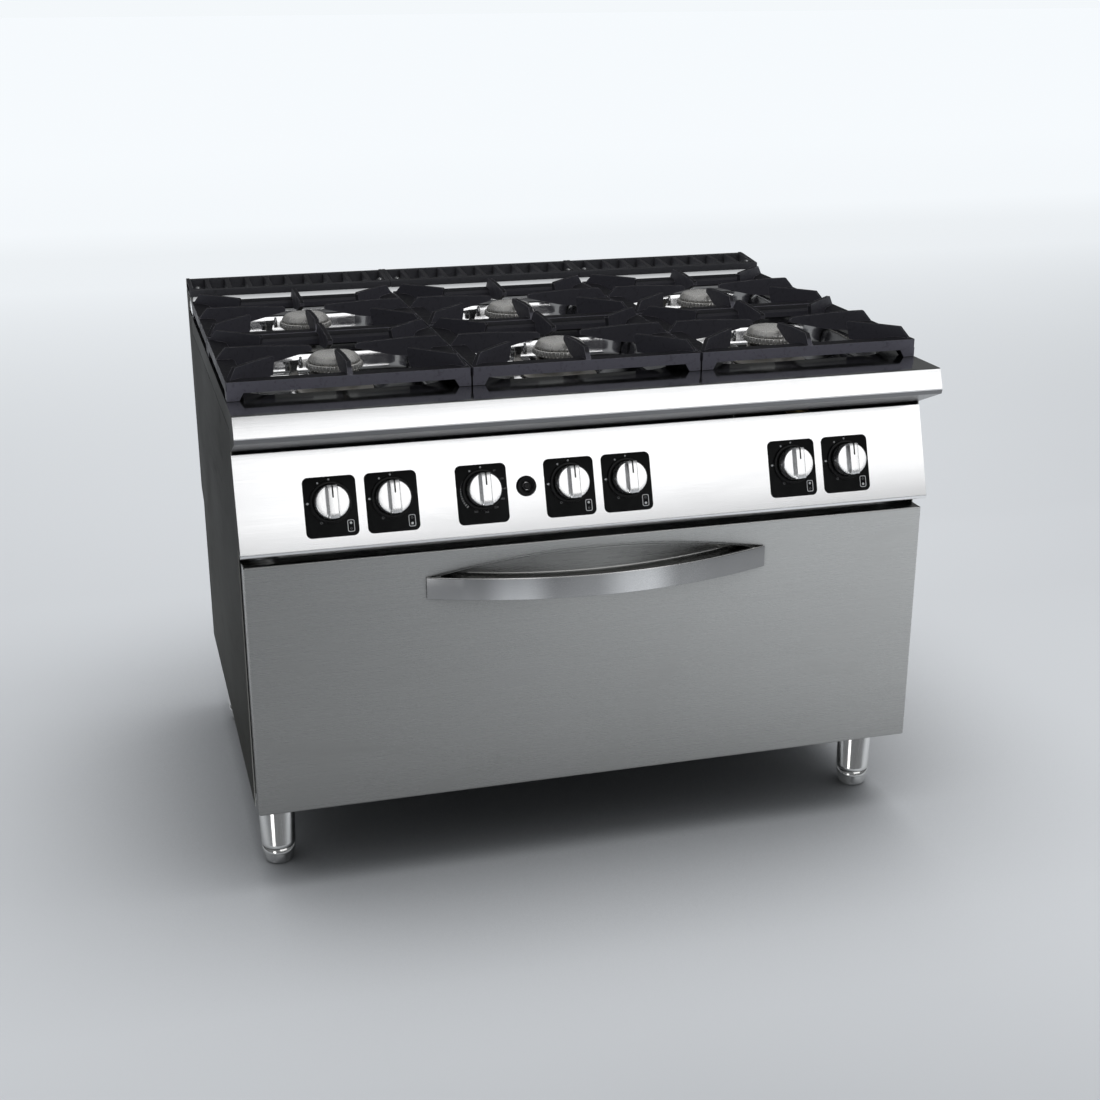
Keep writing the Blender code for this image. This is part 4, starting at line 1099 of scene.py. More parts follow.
def build_pointer():
    """Line along the grip's top that turns down over its end."""
    shape = bmesh.new()
    slab(shape, round_rect(-POINTER_HALF, POINTER_HALF, 0.006, 0.0255,
                           [0.0012, 0.0012, 0.0002, 0.0002], 4),
         GRIP_TOP - 0.0004, GRIP_TOP + 0.00012)
    prism(shape, [(0.0254, GRIP_TOP + 0.0001), (0.0265, GRIP_TOP - 0.001), (0.0265, 0.0305),
                  (0.0259, 0.0305), (0.0252, GRIP_TOP - 0.001)],
          lambda u, v, w: (w, u, v), -POINTER_HALF, POINTER_HALF)
    return solid_mesh(shape)


def hoop(shape, x, y, inner, outer):
    """Thin printed circle."""
    lathe(shape, [(inner, MARK_LOW), (outer, MARK_LOW), (outer, MARK_TOP), (inner, MARK_TOP)],
          20, move((x, y, 0)))


def burner_marks(white, grey, filled):
    """Flame signs, and a cell of two places; `filled` is +1 for the upper, -1 for the lower."""
    x, y = on_dial(-90, DIAL_RADIUS)
    slab(white, disc(x, y, 0.0019), MARK_LOW, MARK_TOP)
    diamond = [(x - 0.0034, y), (x, y - 0.0011), (x + 0.003, y), (x, y + 0.0011)]
    slab(white, rounded(diamond, 0.0003, 2), MARK_LOW, MARK_TOP + 0.00003)
    hoop(grey, *on_dial(-152, 0.0366), 0.0013, 0.002)
    x, y = 0.03, -0.0402
    outer = round_rect(x - 0.0058, x + 0.0058, y - 0.0098, y + 0.0098, 0.003, 5)
    inner = round_rect(x - 0.0047, x + 0.0047, y - 0.0087, y + 0.0087, 0.0021, 5)
    rings = [flat_ring(white, points, z) for points, z in (
        (outer, MARK_LOW), (outer, MARK_TOP), (inner, MARK_TOP), (inner, MARK_LOW))]
    skin(white, rings + rings[:1])
    slab(white, disc(x, y + filled * 0.0046, 0.0021), MARK_LOW, MARK_TOP)
    hoop(grey, x, y - filled * 0.0046, 0.0012, 0.0018)


def widening_bars(white, grey):
    """Twelve bars down the left, the first three grey."""
    for k in range(12):
        degrees = -65 - 70 * k / 11
        length = 0.0008 + 0.0034 * k / 11
        x, y = on_dial(degrees, 0.035 + length / 2)
        angle = math.radians(90 - degrees)
        dx, dy = math.cos(angle) * length / 2, math.sin(angle) * length / 2
        tx, ty = -math.sin(angle) * 0.00055, math.cos(angle) * 0.00055
        corners = [(x - dx - tx, y - dy - ty), (x + dx - tx, y + dy - ty),
                   (x + dx + tx, y + dy + ty), (x - dx + tx, y - dy + ty)]
        slab(white if k > 2 else grey, corners, MARK_LOW, MARK_TOP)


def figure(label, degrees, matrix):
    """Printed number at a place on the dial."""
    raised = 0.00008
    curve = bpy.data.curves.new("figure", "FONT")
    curve.body = label
    curve.size = 0.0046
    curve.align_x, curve.align_y = "CENTER", "CENTER"
    curve.extrude = raised
    curve.resolution_u = 3
    text = bpy.data.objects.new("figure", curve)
    bpy.context.scene.collection.objects.link(text)
    depsgraph = bpy.context.evaluated_depsgraph_get()
    mesh = bpy.data.meshes.new_from_object(text.evaluated_get(depsgraph))
    bpy.data.objects.remove(text, do_unlink=True)
    shape = bmesh.new()
    shape.from_mesh(mesh)
    x, y = on_dial(degrees, 0.0378)
    bmesh.ops.translate(shape, verts=shape.verts, vec=(x, y, MARK_TOP - raised))
    piece("dial_figure_%s" % label, shape, "mark_grey", "chassis",
          matrix=matrix, smooth=30)


# (radius, height)
COLLAR_PROFILE = ([(0.029, 0.0009), (0.0345, 0.0009), (0.0345, 0.0022)] +
                  arc(0.033, 0.0042, 0.0014, 0, 90, 4) + [(0.0305, 0.0058)] +
                  arc(0.0302, 0.0046, 0.0012, 90, 180, 3) + [(0.029, 0.004)])
FIGURES = (("60", 38), ("100", 66), ("140", 92), ("180", 118), ("220", 145), ("260", 172),
           ("300", 200))                        # label, degrees clockwise from the top
FIGURE_KNOB = 3                                 # its dial carries bars and figures
LOWER_FILLED = {2, 5, 7}                        # dials whose lower place is filled
knob_mesh = build_knob()
collar_mesh = solid_mesh(lathe(bmesh.new(), COLLAR_PROFILE, 96))
pointer_mesh = build_pointer()

for n, point in enumerate(KNOB_AT, 1):
    on_panel = panel_frame(point)
    shape = bmesh.new()
    slab(shape, round_rect(-PLATE_HALF, PLATE_HALF, PLATE_UP - PLATE_HEIGHT, PLATE_UP, 0.0095, 8),
         0.0001, PLATE_THICK, soften=0.0005)
    piece("dial_plate_%d" % n, shape, "plate_black", "chassis",
          matrix=on_panel, smooth=40)
    white, grey = bmesh.new(), bmesh.new()
    for degrees in (0, -30):
        slab(white, disc(*on_dial(degrees, DIAL_RADIUS), 0.00165), MARK_LOW, MARK_TOP)
    if n == FIGURE_KNOB:
        widening_bars(white, grey)
    else:
        burner_marks(white, grey, -1 if n in LOWER_FILLED else 1)
    piece("dial_marks_%d" % n, white, "mark_white", "chassis",
          matrix=on_panel, smooth=30)
    if n == FIGURE_KNOB:
        for label, degrees in FIGURES:
            figure(label, degrees, on_panel)
    piece("dial_faint_marks_%d" % n, grey, "mark_grey", "chassis",
          matrix=on_panel, smooth=30)
    piece("knob_collar_%d" % n, repeat(collar_mesh, n), "collar_black", "chassis",
          matrix=on_panel, smooth=50)
    body = "knob_body_%d" % n
    piece("knob_cap_%d" % n, repeat(knob_mesh, n), "knob_silver", body,
          "knob_%d" % n, matrix=on_panel, smooth=32)
    piece("knob_pointer_%d" % n, repeat(pointer_mesh, n), "pointer_black", body,
          matrix=on_panel, smooth=30)

# --- igniter: fixed bezel with a button in it, level with the knobs: (radius, height)
BEZEL_PROFILE = ([(0.0066, 0.0001), (0.017, 0.0001), (0.0172, 0.0012), (0.0166, 0.0026)] +
                 arc(0.014, 0.0022, 0.0024, 60, 100, 4) +
                 [(0.01, 0.004), (0.008, 0.003), (0.0066, 0.0028)])
BUTTON_PROFILE = ([(0, -0.015), (0.0085, -0.015), (0.0085, -0.008), (0.006, -0.0075),
                   (0.006, 0.0056)] + arc(0.0048, 0.006, 0.0012, 0, 90, 4) +
                  [(0.002, 0.0069), (0, 0.0067)])
on_panel = panel_frame(Vector((centre("igniter_button")[0], *KNOB_AT[0].yz)))
piece("igniter_bezel", lathe(bmesh.new(), BEZEL_PROFILE, 72), "collar_black", "chassis",
      matrix=on_panel, smooth=45)
piece("igniter_cap", lathe(bmesh.new(), BUTTON_PROFILE, 48), "collar_black", "igniter",
      "igniter_button", matrix=on_panel, smooth=45)

for n in range(1, 8):
    recoat("valve_stem_%d" % n, "brass")

# ====================================================================== grates
GRATE_X = (grate_high.x - grate_low.x) / 2
GRATE_Y = (grate_high.y - grate_low.y) / 2
LEG_Z = grate_low.z
RING_Z = 0.881
FIN_Z = grate_high.z
FIN_FOOT = 0.8665
# bar round the grate: (inset, z), with a sloped inner flank
RING_SECTION = [(0.0, 0.863), (0.0, RING_Z), (0.025, RING_Z), (0.03, RING_Z - 0.0018),
                (0.033, RING_Z - 0.006), (0.033, 0.866), (0.03, 0.863)]
# fin outlines: (distance along, z)
CORNER_FIN = [(0.004, FIN_FOOT), (0.0035, 0.8822), (0.019, FIN_Z - 0.0005), (0.064, FIN_Z),
              (0.115, FIN_Z), (0.1185, FIN_Z - 0.0035), (0.111, 0.8685), (0.07, FIN_FOOT)]


def side_fin(length):
    return [(0, FIN_FOOT), (0, 0.8822), (0.015, FIN_Z), (0.068, FIN_Z), (length - 0.004, 0.8955),
            (length, 0.8925), (length, 0.8866), (0.095, 0.871), (0.045, 0.865)]


def fin(start, end, outline, thickness):
    """Upright plate from start towards end; thinner along its top, as castings are."""
    taper = 0.82
    start, end = Vector((*start, 0)), Vector((*end, 0))
    along = (end - start).normalized()
    side = Vector((-along.y, along.x, 0)) * thickness / 2
    low = min(z for _, z in outline)
    high = max(z for _, z in outline)

    def place(u, v, w):
        width = 1 - (1 - taper) * (v - low) / (high - low)
        return start + along * u + side * (w * width) + Vector((0, 0, v))
    return prism(bmesh.new(), outline, place, -1, 1)


def corner_leg(sx, sy):
    """Leg under a grate corner, narrowing downwards."""
    shape = bmesh.new()
    x, y = sx * GRATE_X, sy * GRATE_Y
    rings = []
    for width, z in ((0.029, FIN_FOOT), (0.02, LEG_Z)):
        inner_x, inner_y = x - sx * width, y - sy * width
        rings.append(flat_ring(shape, [(x, y), (inner_x, y), (inner_x, inner_y), (x, inner_y)], z))
    close_prism(shape, *rings)
    return shape


def build_grate():
    shape = bmesh.new()
    rings = []
    for inset, z in RING_SECTION:
        x, y = GRATE_X - inset, GRATE_Y - inset
        rings.append(flat_ring(shape, round_rect(-x, x, -y, y, 0.0025 + inset * 0.12, 3), z))
    skin(shape, rings + rings[:1])
    parts = []
    for sx in (-1, 1):
        for sy in (-1, 1):
            x, y = sx * GRATE_X, sy * GRATE_Y
            parts.append(corner_leg(sx, sy))
            parts.append(fin((x - sx * 0.003, y - sy * 0.0118), (x - sx * 0.09, y - sy * 0.0988),
                             CORNER_FIN, 0.0085))
    edge_x, edge_y = GRATE_X - 0.0012, GRATE_Y - 0.0012
    for start, length in (((-edge_x, 0), 0.16), ((edge_x, 0), 0.16),
                          ((0, -edge_y), 0.138), ((0, edge_y), 0.138)):
        parts.append(fin(start, (0, 0), side_fin(length), 0.0095))
    mesh = union(shape, parts)
    # tidy what the union leaves, so that the bevel runs cleanly
    shape = bmesh.new()
    shape.from_mesh(mesh)
    bmesh.ops.remove_doubles(shape, verts=shape.verts, dist=5e-6)
    bmesh.ops.dissolve_degenerate(shape, edges=shape.edges, dist=1e-5)
    bmesh.ops.dissolve_limit(shape, angle_limit=math.radians(0.5), verts=shape.verts,
                             edges=shape.edges)
    shape.to_mesh(mesh)
    shape.free()
    return mesh


grate_mesh = build_grate()
for n, (x, y) in enumerate(BURNERS, 1):
    piece("pan_grate_%d" % n, repeat(grate_mesh, n), "cast_iron", "grate_lift_%d" % n,
          "grate_%d" % n, matrix=move((x, y, 0)), bevel=0.0011, smooth=30)

# ===================================================================== burners
# (radius, z): a row of flame ports round the side under a step, a domed lid, and the cup
CROWN_PROFILE = [
    (0, 0.8486), (0.034, 0.8486), (0.0352, 0.85), (0.044, 0.8538), (0.047, 0.8562),
    (0.0484, 0.8572), (0.0486, 0.858), (0.0486, 0.863), (0.0482, 0.8642), (0.0478, 0.8652),
    (0.0468, 0.8658), (0.0448, 0.8662), (0.044, 0.8658), (0.03, 0.8662), (0, 0.8664)]
LID_PROFILE = [
    (0, 0.866), (0.04, 0.866), (0.0425, 0.8664), (0.044, 0.8676), (0.0446, 0.8694),
    (0.044, 0.8712), (0.0424, 0.8736), (0.0396, 0.8768), (0.0378, 0.8784), (0.0356, 0.8794),
    (0.03, 0.8804), (0.022, 0.8814), (0.01, 0.8822), (0, 0.8823)]
CUP_PROFILE = [
    (0, 0.7702), (0.034, 0.7702), (0.042, 0.774), (0.048, 0.78), (0.05, 0.788), (0.05, 0.8168),
    (0.0655, 0.8168), (0.0662, 0.8178), (0.0655, 0.8196), (0.063, 0.8206), (0.048, 0.8226),
    (0.044, 0.825), (0.0425, 0.83), (0.042, 0.846), (0.0412, 0.848), (0.0366, 0.848),
    (0.036, 0.846), (0.03, 0.7762), (0, 0.7762)]
# pilot bracket, a strip that widens to a cross arm: (x from its middle, z)
BRACKET = [
    (-0.0105, 0.82), (0.0105, 0.82), (0.0085, 0.833), (0.0055, 0.842), (0.007, 0.85),
    (0.015, 0.856), (0.015, 0.8615), (0.005, 0.86), (-0.004, 0.86), (-0.017, 0.8585),
    (-0.017, 0.8535), (-0.007, 0.85), (-0.0055, 0.842), (-0.0085, 0.833)]
SLIM_JET = [(0, 0.847), (0.0034, 0.847), (0.0034, 0.86), (0.0024, 0.8625), (0.0024, 0.866),
            (0, 0.8668)]
WIDE_JET = [(0, 0.844), (0.0052, 0.844), (0.0052, 0.853), (0.004, 0.8545), (0.004, 0.859),
            (0, 0.8596)]


def ports(angle, radius, height):
    """44 notches in the crown's upright band."""
    if radius > 0.0472 and 0.8565 < height < 0.865:
        wave = max(-1.0, min(1.0, math.cos(44 * angle) * 3.0))
        return radius - 0.0026 * (0.5 - 0.5 * wave)
    return radius


def lobes(angle, radius, height):
    return radius * (1 - 0.03 * (0.5 - 0.5 * math.cos(8 * angle)) ** 2)


def pilot_set(cx, cy):
    """Flange screws, and the bracket with its two jets beside the crown."""
    shape = bmesh.new()
    for k in range(3):
        angle = math.radians(30 + 120 * k)
        screw(shape, (cx + 0.057 * math.cos(angle), cy + 0.057 * math.sin(angle), 0.8222),
              0.0034, 0.0018)
    x, y = cx - 0.064, cy + 0.05
    prism(shape, rounded(BRACKET, 0.0016, 3), lambda u, v, w: (x + u, y + w, v), -0.0008, 0.0008)
    lathe(shape, SLIM_JET, 18, move((x + 0.0125, y - 0.004, 0)))
    lathe(shape, WIDE_JET, 18, move((x - 0.01, y - 0.006, 0)))
    return shape


def pilot_pipes(cx, cy):
    """Gas and thermocouple tubes side by side across the well, each with a hexagon nut."""
    shape = bmesh.new()
    for offset, radius in ((0.0, 0.0036), (-0.0125, 0.003)):
        y = cy + 0.07 + offset
        tube(shape, bend([(cx - 0.038, y - 0.004, 0.815), (cx - 0.038, y - 0.004, 0.83),
                          (cx - 0.047, y - 0.002, 0.833), (cx - 0.118, y, 0.833),
                          (cx - 0.13, y, 0.815)], 0.008), radius, 14)
        lathe(shape, [(0, -0.005), (radius + 0.002, -0.005), (radius + 0.0022, 0.005), (0, 0.005)],
              6, move((cx - 0.06, y - 0.0005, 0.833)) @ Matrix.Rotation(math.radians(90), 4, "Y"))
    return shape


crown_mesh = solid_mesh(lathe(bmesh.new(), CROWN_PROFILE, 352, vary=ports))
lid_mesh = solid_mesh(lathe(bmesh.new(), LID_PROFILE, 96, vary=lobes))
cup_mesh = solid_mesh(lathe(bmesh.new(), CUP_PROFILE, 72))
for n, (x, y) in enumerate(BURNERS, 1):
    place = move((x, y, 0))
    piece("burner_crown_%d" % n, repeat(crown_mesh, n), "nickel", "cap_%d" % n,
          "burner_cap_%d" % n, matrix=place, smooth=32)
    piece("burner_lid_%d" % n, repeat(lid_mesh, n), "nickel", "cap_%d" % n,
          matrix=place, smooth=40)
    piece("burner_cup_%d" % n, repeat(cup_mesh, n), "nickel_body", "chassis",
          "burner_body_%d" % n, matrix=place, smooth=40)
    piece("pilot_set_%d" % n, pilot_set(x, y), "chrome", "chassis")
    piece("pilot_pipes_%d" % n, pilot_pipes(x, y), "chrome", "chassis", smooth=45)

# ================================================================== oven door
handle_low, handle_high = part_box("door_handle")
HALF_DOOR = door_high.x
LENS_STEPS = 64
LENS_Z = (handle_low.z + handle_high.z) / 2 + 0.0165
LENS_HALF, LENS_RISE = 0.2965, 0.03             # half length, half height of the finger pocket


def lens_ring(shape, stretch_x, stretch_z, depth):
    """Pointed oval of two parabolas, upper edge left to right, then lower edge back."""
    points = []
    for side in (1, -1):
        for k in range(LENS_STEPS + 1):
            t = side * (-1 + 2 * k / LENS_STEPS)
            points.append((stretch_x * LENS_HALF * t, LENS_Z + side * (
                stretch_z * LENS_RISE * (1 - t * t) + 0.0008)))
    return upright_ring(shape, points, at_depth(depth))


def build_door():
    """Front sheet with a pressed finger pocket and turned edges."""
    shape = bmesh.new()
    lip = 0.0055
    rings = [lens_ring(shape, 1.0, 1.0, 0.0)]
    for k in range(1, 7):
        angle = math.radians(15 * k)
        inset = lip * math.sin(angle)
        rings.append(lens_ring(shape, 1 - 4.2 * inset / LENS_HALF, 1 - inset / LENS_RISE,
                               lip * (1 - math.cos(angle))))
    rings.append(lens_ring(shape, 0.905, 0.755, 0.012))
    rings.append(lens_ring(shape, 0.890, 0.715, 0.018))
    for k in range(1, 5):
        angle = math.radians(22.5 * k)
        rings.append(lens_ring(shape, 0.890 - 0.030 * math.sin(angle) - 0.01 * k / 4,
                               0.715 - 0.16 * (1 - math.cos(angle)) - 0.03 * k / 4,
                               0.018 + 0.0045 * math.sin(angle)))
    around = []
    for k, vert in enumerate(rings[0]):
        rise = 0.003 if k <= LENS_STEPS else -0.003
        around.append(shape.verts.new((vert.co.x * 1.006, vert.co.y, vert.co.z + rise)))
    skin(shape, [around] + rings)
    floor_ring = rings[-1]
    last = 2 * LENS_STEPS + 1
    for k in range(LENS_STEPS):
        shape.faces.new([floor_ring[i] for i in (k, k + 1, last - k - 1, last - k)])

    edge_radius = 0.0022
    edges = []
    for k in range(6):
        angle = math.radians(18 * k)
        inset = edge_radius * (1 - math.sin(angle))
        edges.append(upright_ring(shape, round_rect(
            -HALF_DOOR + inset, HALF_DOOR - inset, door_low.z + inset, door_high.z - inset,
            0.003 - inset, 5), at_depth(edge_radius * (1 - math.cos(angle)))))
    edges.append([shape.verts.new((v.co.x, at_depth(0.034), v.co.z)) for v in edges[-1]])
    margin = 0.004
    field = [shape.verts.new((v.co.x * (1 - margin / HALF_DOOR), at_depth(0),
                              v.co.z + (margin if v.co.z < 0.4 else -margin)))
             for v in edges[0]]
    skin(shape, [field] + edges)
    fill_between(shape, around, field)
    bmesh.ops.remove_doubles(shape, verts=shape.verts, dist=1e-6)
    return sheet_mesh(shape, largest_face(shape), (0, -1, 0))


piece("door_outer", build_door(), "door_brushed", "door", "door_skin",
      smooth=30, solidify=0.001)


def build_handle():
    """Bowed strip with rounded edges, its ends close to the door."""
    shape = bmesh.new()
    steps, half, standoff, thickness = 96, 0.2995, 0.0036, 0.003
    bow = -(handle_low.y - DOOR_Y) - standoff
    rings = []
    for k in range(steps + 1):
        t = -1 + 2 * k / steps
        depth = -bow * (1 - t * t) - standoff
        inward = Vector((-bow * 2 * t / half, 1.0)).normalized()      # towards the door
        thick = thickness if abs(t) < 0.97 else thickness * 0.95
        section = round_rect(0, thick, handle_low.z, handle_high.z, 0.0011, 4)
        # the strip winds the other way round from round_rect's corner order in (u, z)
        rings.append([shape.verts.new((half * t + inward.x * u,
                                       at_depth(min(depth + inward.y * u, -0.0006)), z))
                      for u, z in section])
    skin(shape, rings, caps=True)
    return shape


piece("handle_strip", build_handle(), "handle_brushed", "door", "door_handle",
      smooth=40)

# --- inner pan: flange, raised field and sunk middle: (half width, bottom z, top z)
pan_low, pan_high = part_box("door_inner_pan")
FLANGE = (pan_high.x, pan_low.z, pan_high.z)
PAN_FOOT = (0.5485, 0.181, 0.586)
PAN_WALL = (0.5425, 0.187, 0.58)
PAN_MIDDLE = (0.5, 0.23, 0.537)
FLANGE_DEPTH = pan_low.y - DOOR_Y + 0.0016
PAN_BACK = pan_high.y - DOOR_Y


def build_inner_pan():
    shape = bmesh.new()
    rings = []

    def level(rect, inset, radius, depth):
        half, bottom, top = rect
        outline = round_rect(-(half - inset), half - inset, bottom + inset, top - inset, radius)
        rings.append(upright_ring(shape, outline, at_depth(depth)))

    level(FLANGE, 0, 0.004, FLANGE_DEPTH)
    level(PAN_FOOT, 0, 0.016, FLANGE_DEPTH)
    for angle in [math.radians(18 * k) for k in range(1, 6)]:
        level(PAN_FOOT, 0.004 * math.sin(angle), 0.016,
              FLANGE_DEPTH + 0.004 * (1 - math.cos(angle)))
    level(PAN_WALL, 0, 0.014, PAN_BACK - 0.005)
    for angle in [math.radians(18 * k) for k in range(1, 6)]:
        level(PAN_WALL, 0.0045 * (1 - math.cos(angle)), 0.014,
              PAN_BACK - 0.005 + 0.0048 * math.sin(angle))
    level(PAN_MIDDLE, 0, 0.02, PAN_BACK - 0.0002)
    for k in range(1, 5):
        angle = math.radians(22.5 * k)
        level(PAN_MIDDLE, 0.008 * (1 - math.cos(angle)) + 0.002 * k, 0.018,
              PAN_BACK - 0.0002 - 0.005 * math.sin(angle))
    skin(shape, rings)
    shape.faces.new(rings[-1])
    return sheet_mesh(shape, largest_face(shape), (0, 1, 0))


piece("door_inner", build_inner_pan(), "frame_satin", "door", "door_inner_pan",
      solidify=0.001)

shape = bmesh.new()
for x, z in ([(-0.57 + 0.114 * k, 0.168) for k in range(11)] +
             [(x, z) for z in (0.26, 0.36, 0.46, 0.56) for x in (-0.571, 0.571)]):
    screw(shape, (x, at_depth(FLANGE_DEPTH + 0.0002), z), 0.0038, 0.0018, FACING_BACK)
piece("door_screws", shape, "chromed_wire", "door")

shape = bmesh.new()
box(shape, -0.53, 0.53, at_depth(0.0262), at_depth(PAN_BACK - 0.009), 0.198, 0.569)
bmesh.ops.subdivide_edges(shape, edges=shape.edges, cuts=12, use_grid_fill=True)
for vert in shape.verts:
    vert.co.y += 0.0006 * math.sin(vert.co.x * 60) * math.cos(vert.co.z * 75)
piece("door_insulation", shape, "insulation", "door", smooth=60)

# --- hinge arms on the door's lower corners, and their pins
for side, name in ((-1, "left"), (1, "right")):
    x = side * 0.578
    arm = prism(bmesh.new(), round_rect(0.0215, 0.034, 0.154, 0.23, 0.003, 4), side_view,
                x - 0.0012, x + 0.0012)
    piece("hinge_arm_" + name, arm, "frame_satin", "door")
    recoat("hinge_pin_" + name, "chrome")

# --- gasket: a bulb run round the mouth
low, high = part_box("door_gasket")
y = (low.y + high.y) / 2
outline = round_rect(low.x + 0.006, high.x - 0.006, low.z + 0.002, high.z - 0.002, 0.012, 10)
shape = bmesh.new()
tube(shape, [(x, y, z) for x, z in outline], 0.003, 14, closed=True)
piece("mouth_gasket", shape, "gasket_rubber", "chassis", "door_gasket",
      smooth=60)

# ======================================================================== oven
recoat("oven_liner", "oven_enamel")
recoat("gas_manifold", "brass")
edges = NODES["gas_manifold"].modifiers.new("edges", "BEVEL")
edges.width = 0.0008
edges.segments = 2
edges.limit_method = "ANGLE"
edges.angle_limit = math.radians(50)
recoat("oven_burner", "galvanised")
recoat("oven_floor_plate", "flue_iron")

low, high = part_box("oven_floor_plate")
shape = bmesh.new()
for x in (-0.44, 0.44):
    for y in (low.y + 0.03, high.y - 0.03):
        box(shape, x - 0.012, x + 0.012, y - 0.006, y + 0.006, MOUTH_BOTTOM + 0.0002,
            low.z - 0.0002)
piece("floor_plate_feet", shape, "flue_iron", "chassis", bevel=0.0006)

# --- rack: frame wire, cross wires, two stiffeners under them
RACK_WIRE, RACK_MARGIN, CROSS_WIRES = 0.0034, 0.045, 19
low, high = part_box("oven_rack")
_, middle_y, z = centre("oven_rack")
left, right = low.x + RACK_WIRE, high.x - RACK_WIRE
front, back = low.y + RACK_WIRE, high.y - RACK_WIRE
shape = bmesh.new()
tube(shape, bend([(left, middle_y, z), (left, front, z), (right, front, z), (right, back, z),
                  (left, back, z), (left, middle_y, z)], 0.018), RACK_WIRE, 14)
for k in range(CROSS_WIRES):
    x = low.x + RACK_MARGIN + (high.x - low.x - 2 * RACK_MARGIN) * k / (CROSS_WIRES - 1)
    tube(shape, [(x, front, z + 0.0006), (x, back, z + 0.0006)], 0.0022, 10)
for y in (low.y + 0.19, high.y - 0.19):
    tube(shape, [(left, y, z - 0.0014), (right, y, z - 0.0014)], 0.0026, 10)
piece("rack_wires", shape, "chromed_wire", "rack", "oven_rack", smooth=60)

# --- rack guides: posts, three runners a side, and a tie across the back
low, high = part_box("rack_guide_frame")
shape = bmesh.new()
for side in (-1, 1):
    post, runner = side * (high.x - 0.0032), side * 0.4845
    for depth in (0.113, 0.718):
        tube(shape, [(post, at_depth(depth), low.z), (post, at_depth(depth), high.z)], 0.003)
    front, back = at_depth(0.088), at_depth(0.715)
    for z in (0.303, 0.388, 0.473):
        tube(shape, bend([(post, at_depth(0.113), z), (post, front, z), (runner, front, z),
                          (runner, back, z), (post, back, z)], 0.008), 0.0029)
tube(shape, [(-high.x + 0.004, at_depth(0.718), 0.239), (high.x - 0.004, at_depth(0.718), 0.239)],
     0.003)
piece("guide_wires", shape, "chromed_wire", "chassis", "rack_guide_frame", smooth=60)

# --- thermostat bulb and its capillary along the oven's right wall
BULB_X, BULB_Z = 0.496, 0.53
bulb_end = (BULB_X, at_depth(0.48), BULB_Z)
shape = bmesh.new()
tube(shape, bend([(BULB_X, at_depth(0.3), BULB_Z), bulb_end], 0.01), 0.0035)
tube(shape, bend([bulb_end, (BULB_X, at_depth(0.7), BULB_Z), (BULB_X, at_depth(0.7), 0.56)],
                 0.015), 0.0012, 8)
piece("thermostat_bulb", shape, "brass", "chassis", smooth=60)

# ======================================================================= floor
FLOOR_HALF = 60.0
FAR_GREY = (0.12, 0.125, 0.13)
GLOW_REACH = 12.0
# (depth, emission): the floor brightens into the backdrop behind the range
GLOW = ((0.0, 0.0), (1.0, 0.0), (1.6, 0.06), (2.3, 0.19), (3.3, 0.36), (4.5, 0.56), (6.0, 0.79),
        (8.0, 0.925), (12.0, 0.95))


def floor_material():
    mat = Surface("floor_pale")
    place = mat.split(mat.coord)
    depth = mat.add(place[1], -DOOR_Y)
    soft = mat.noise(mat.space(), scale=1.3, detail=2.0, rough=0.5)
    tone = mat.mix(mat.remap(soft, span=(0.3, 0.7), to=(0.0, 0.06)),
                   (0.60, 0.615, 0.635), (0.54, 0.555, 0.575))
    # painted shadow: a darker patch in front of the range
    patch = mat.remap(mat.calc("ABSOLUTE", mat.add(place[0], 0.3)), span=(0.25, 1.1),
                      to=(1.0, 0.35))
    tone = mat.mix(mat.times(patch, mat.remap(depth, span=(-1.1, -0.35), to=(0.62, 0.0))),
                   tone, (0.30, 0.31, 0.325))
    tone = mat.mix(mat.remap(depth, span=(1.5, 7.0)), tone, FAR_GREY)
    # far from the range the floor fades into the backdrop whichever way the camera looks
    seen = mat.new("ShaderNodeLightPath").outputs["Is Camera Ray"]
    off_front = mat.remap(depth, span=(-3.0, -10.0))
    off_side = mat.remap(mat.calc("ABSOLUTE", place[0]), span=(3.5, 10.0))
    away = mat.times(seen, mat.calc("MAXIMUM", off_front, off_side))
    tone = mat.mix(away, tone, FAR_GREY)
    # painted shade: the floor darkens where the range closes over it
    tone = mat.scale(tone, mat.cover(0.58, span=(0.05, 0.90), to=(0.22, 1.0)))
    glow = mat.ramp(mat.calc("DIVIDE", depth, GLOW_REACH),
                    [(reach / GLOW_REACH, strength) for reach, strength in GLOW])
    # what the door reflects is lighter to the right
    mirrored = mat.new("ShaderNodeLightPath").outputs["Is Glossy Ray"]
    side_glow = mat.times(mat.remap(place[0], span=(-0.9, 2.0), to=(-0.06, 0.17)),
                          mat.remap(depth, span=(-0.2, 0.4), to=(1.0, 0.0)))
    behind = mat.calc("MAXIMUM", glow, mat.times(away, 0.95))
    mat.set(color=tone, rough=0.8, spec=0.1, emit=(0.905, 0.938, 0.965),
            emit_strength=mat.add(behind, mat.times(mirrored, side_glow)))
    return mat.material


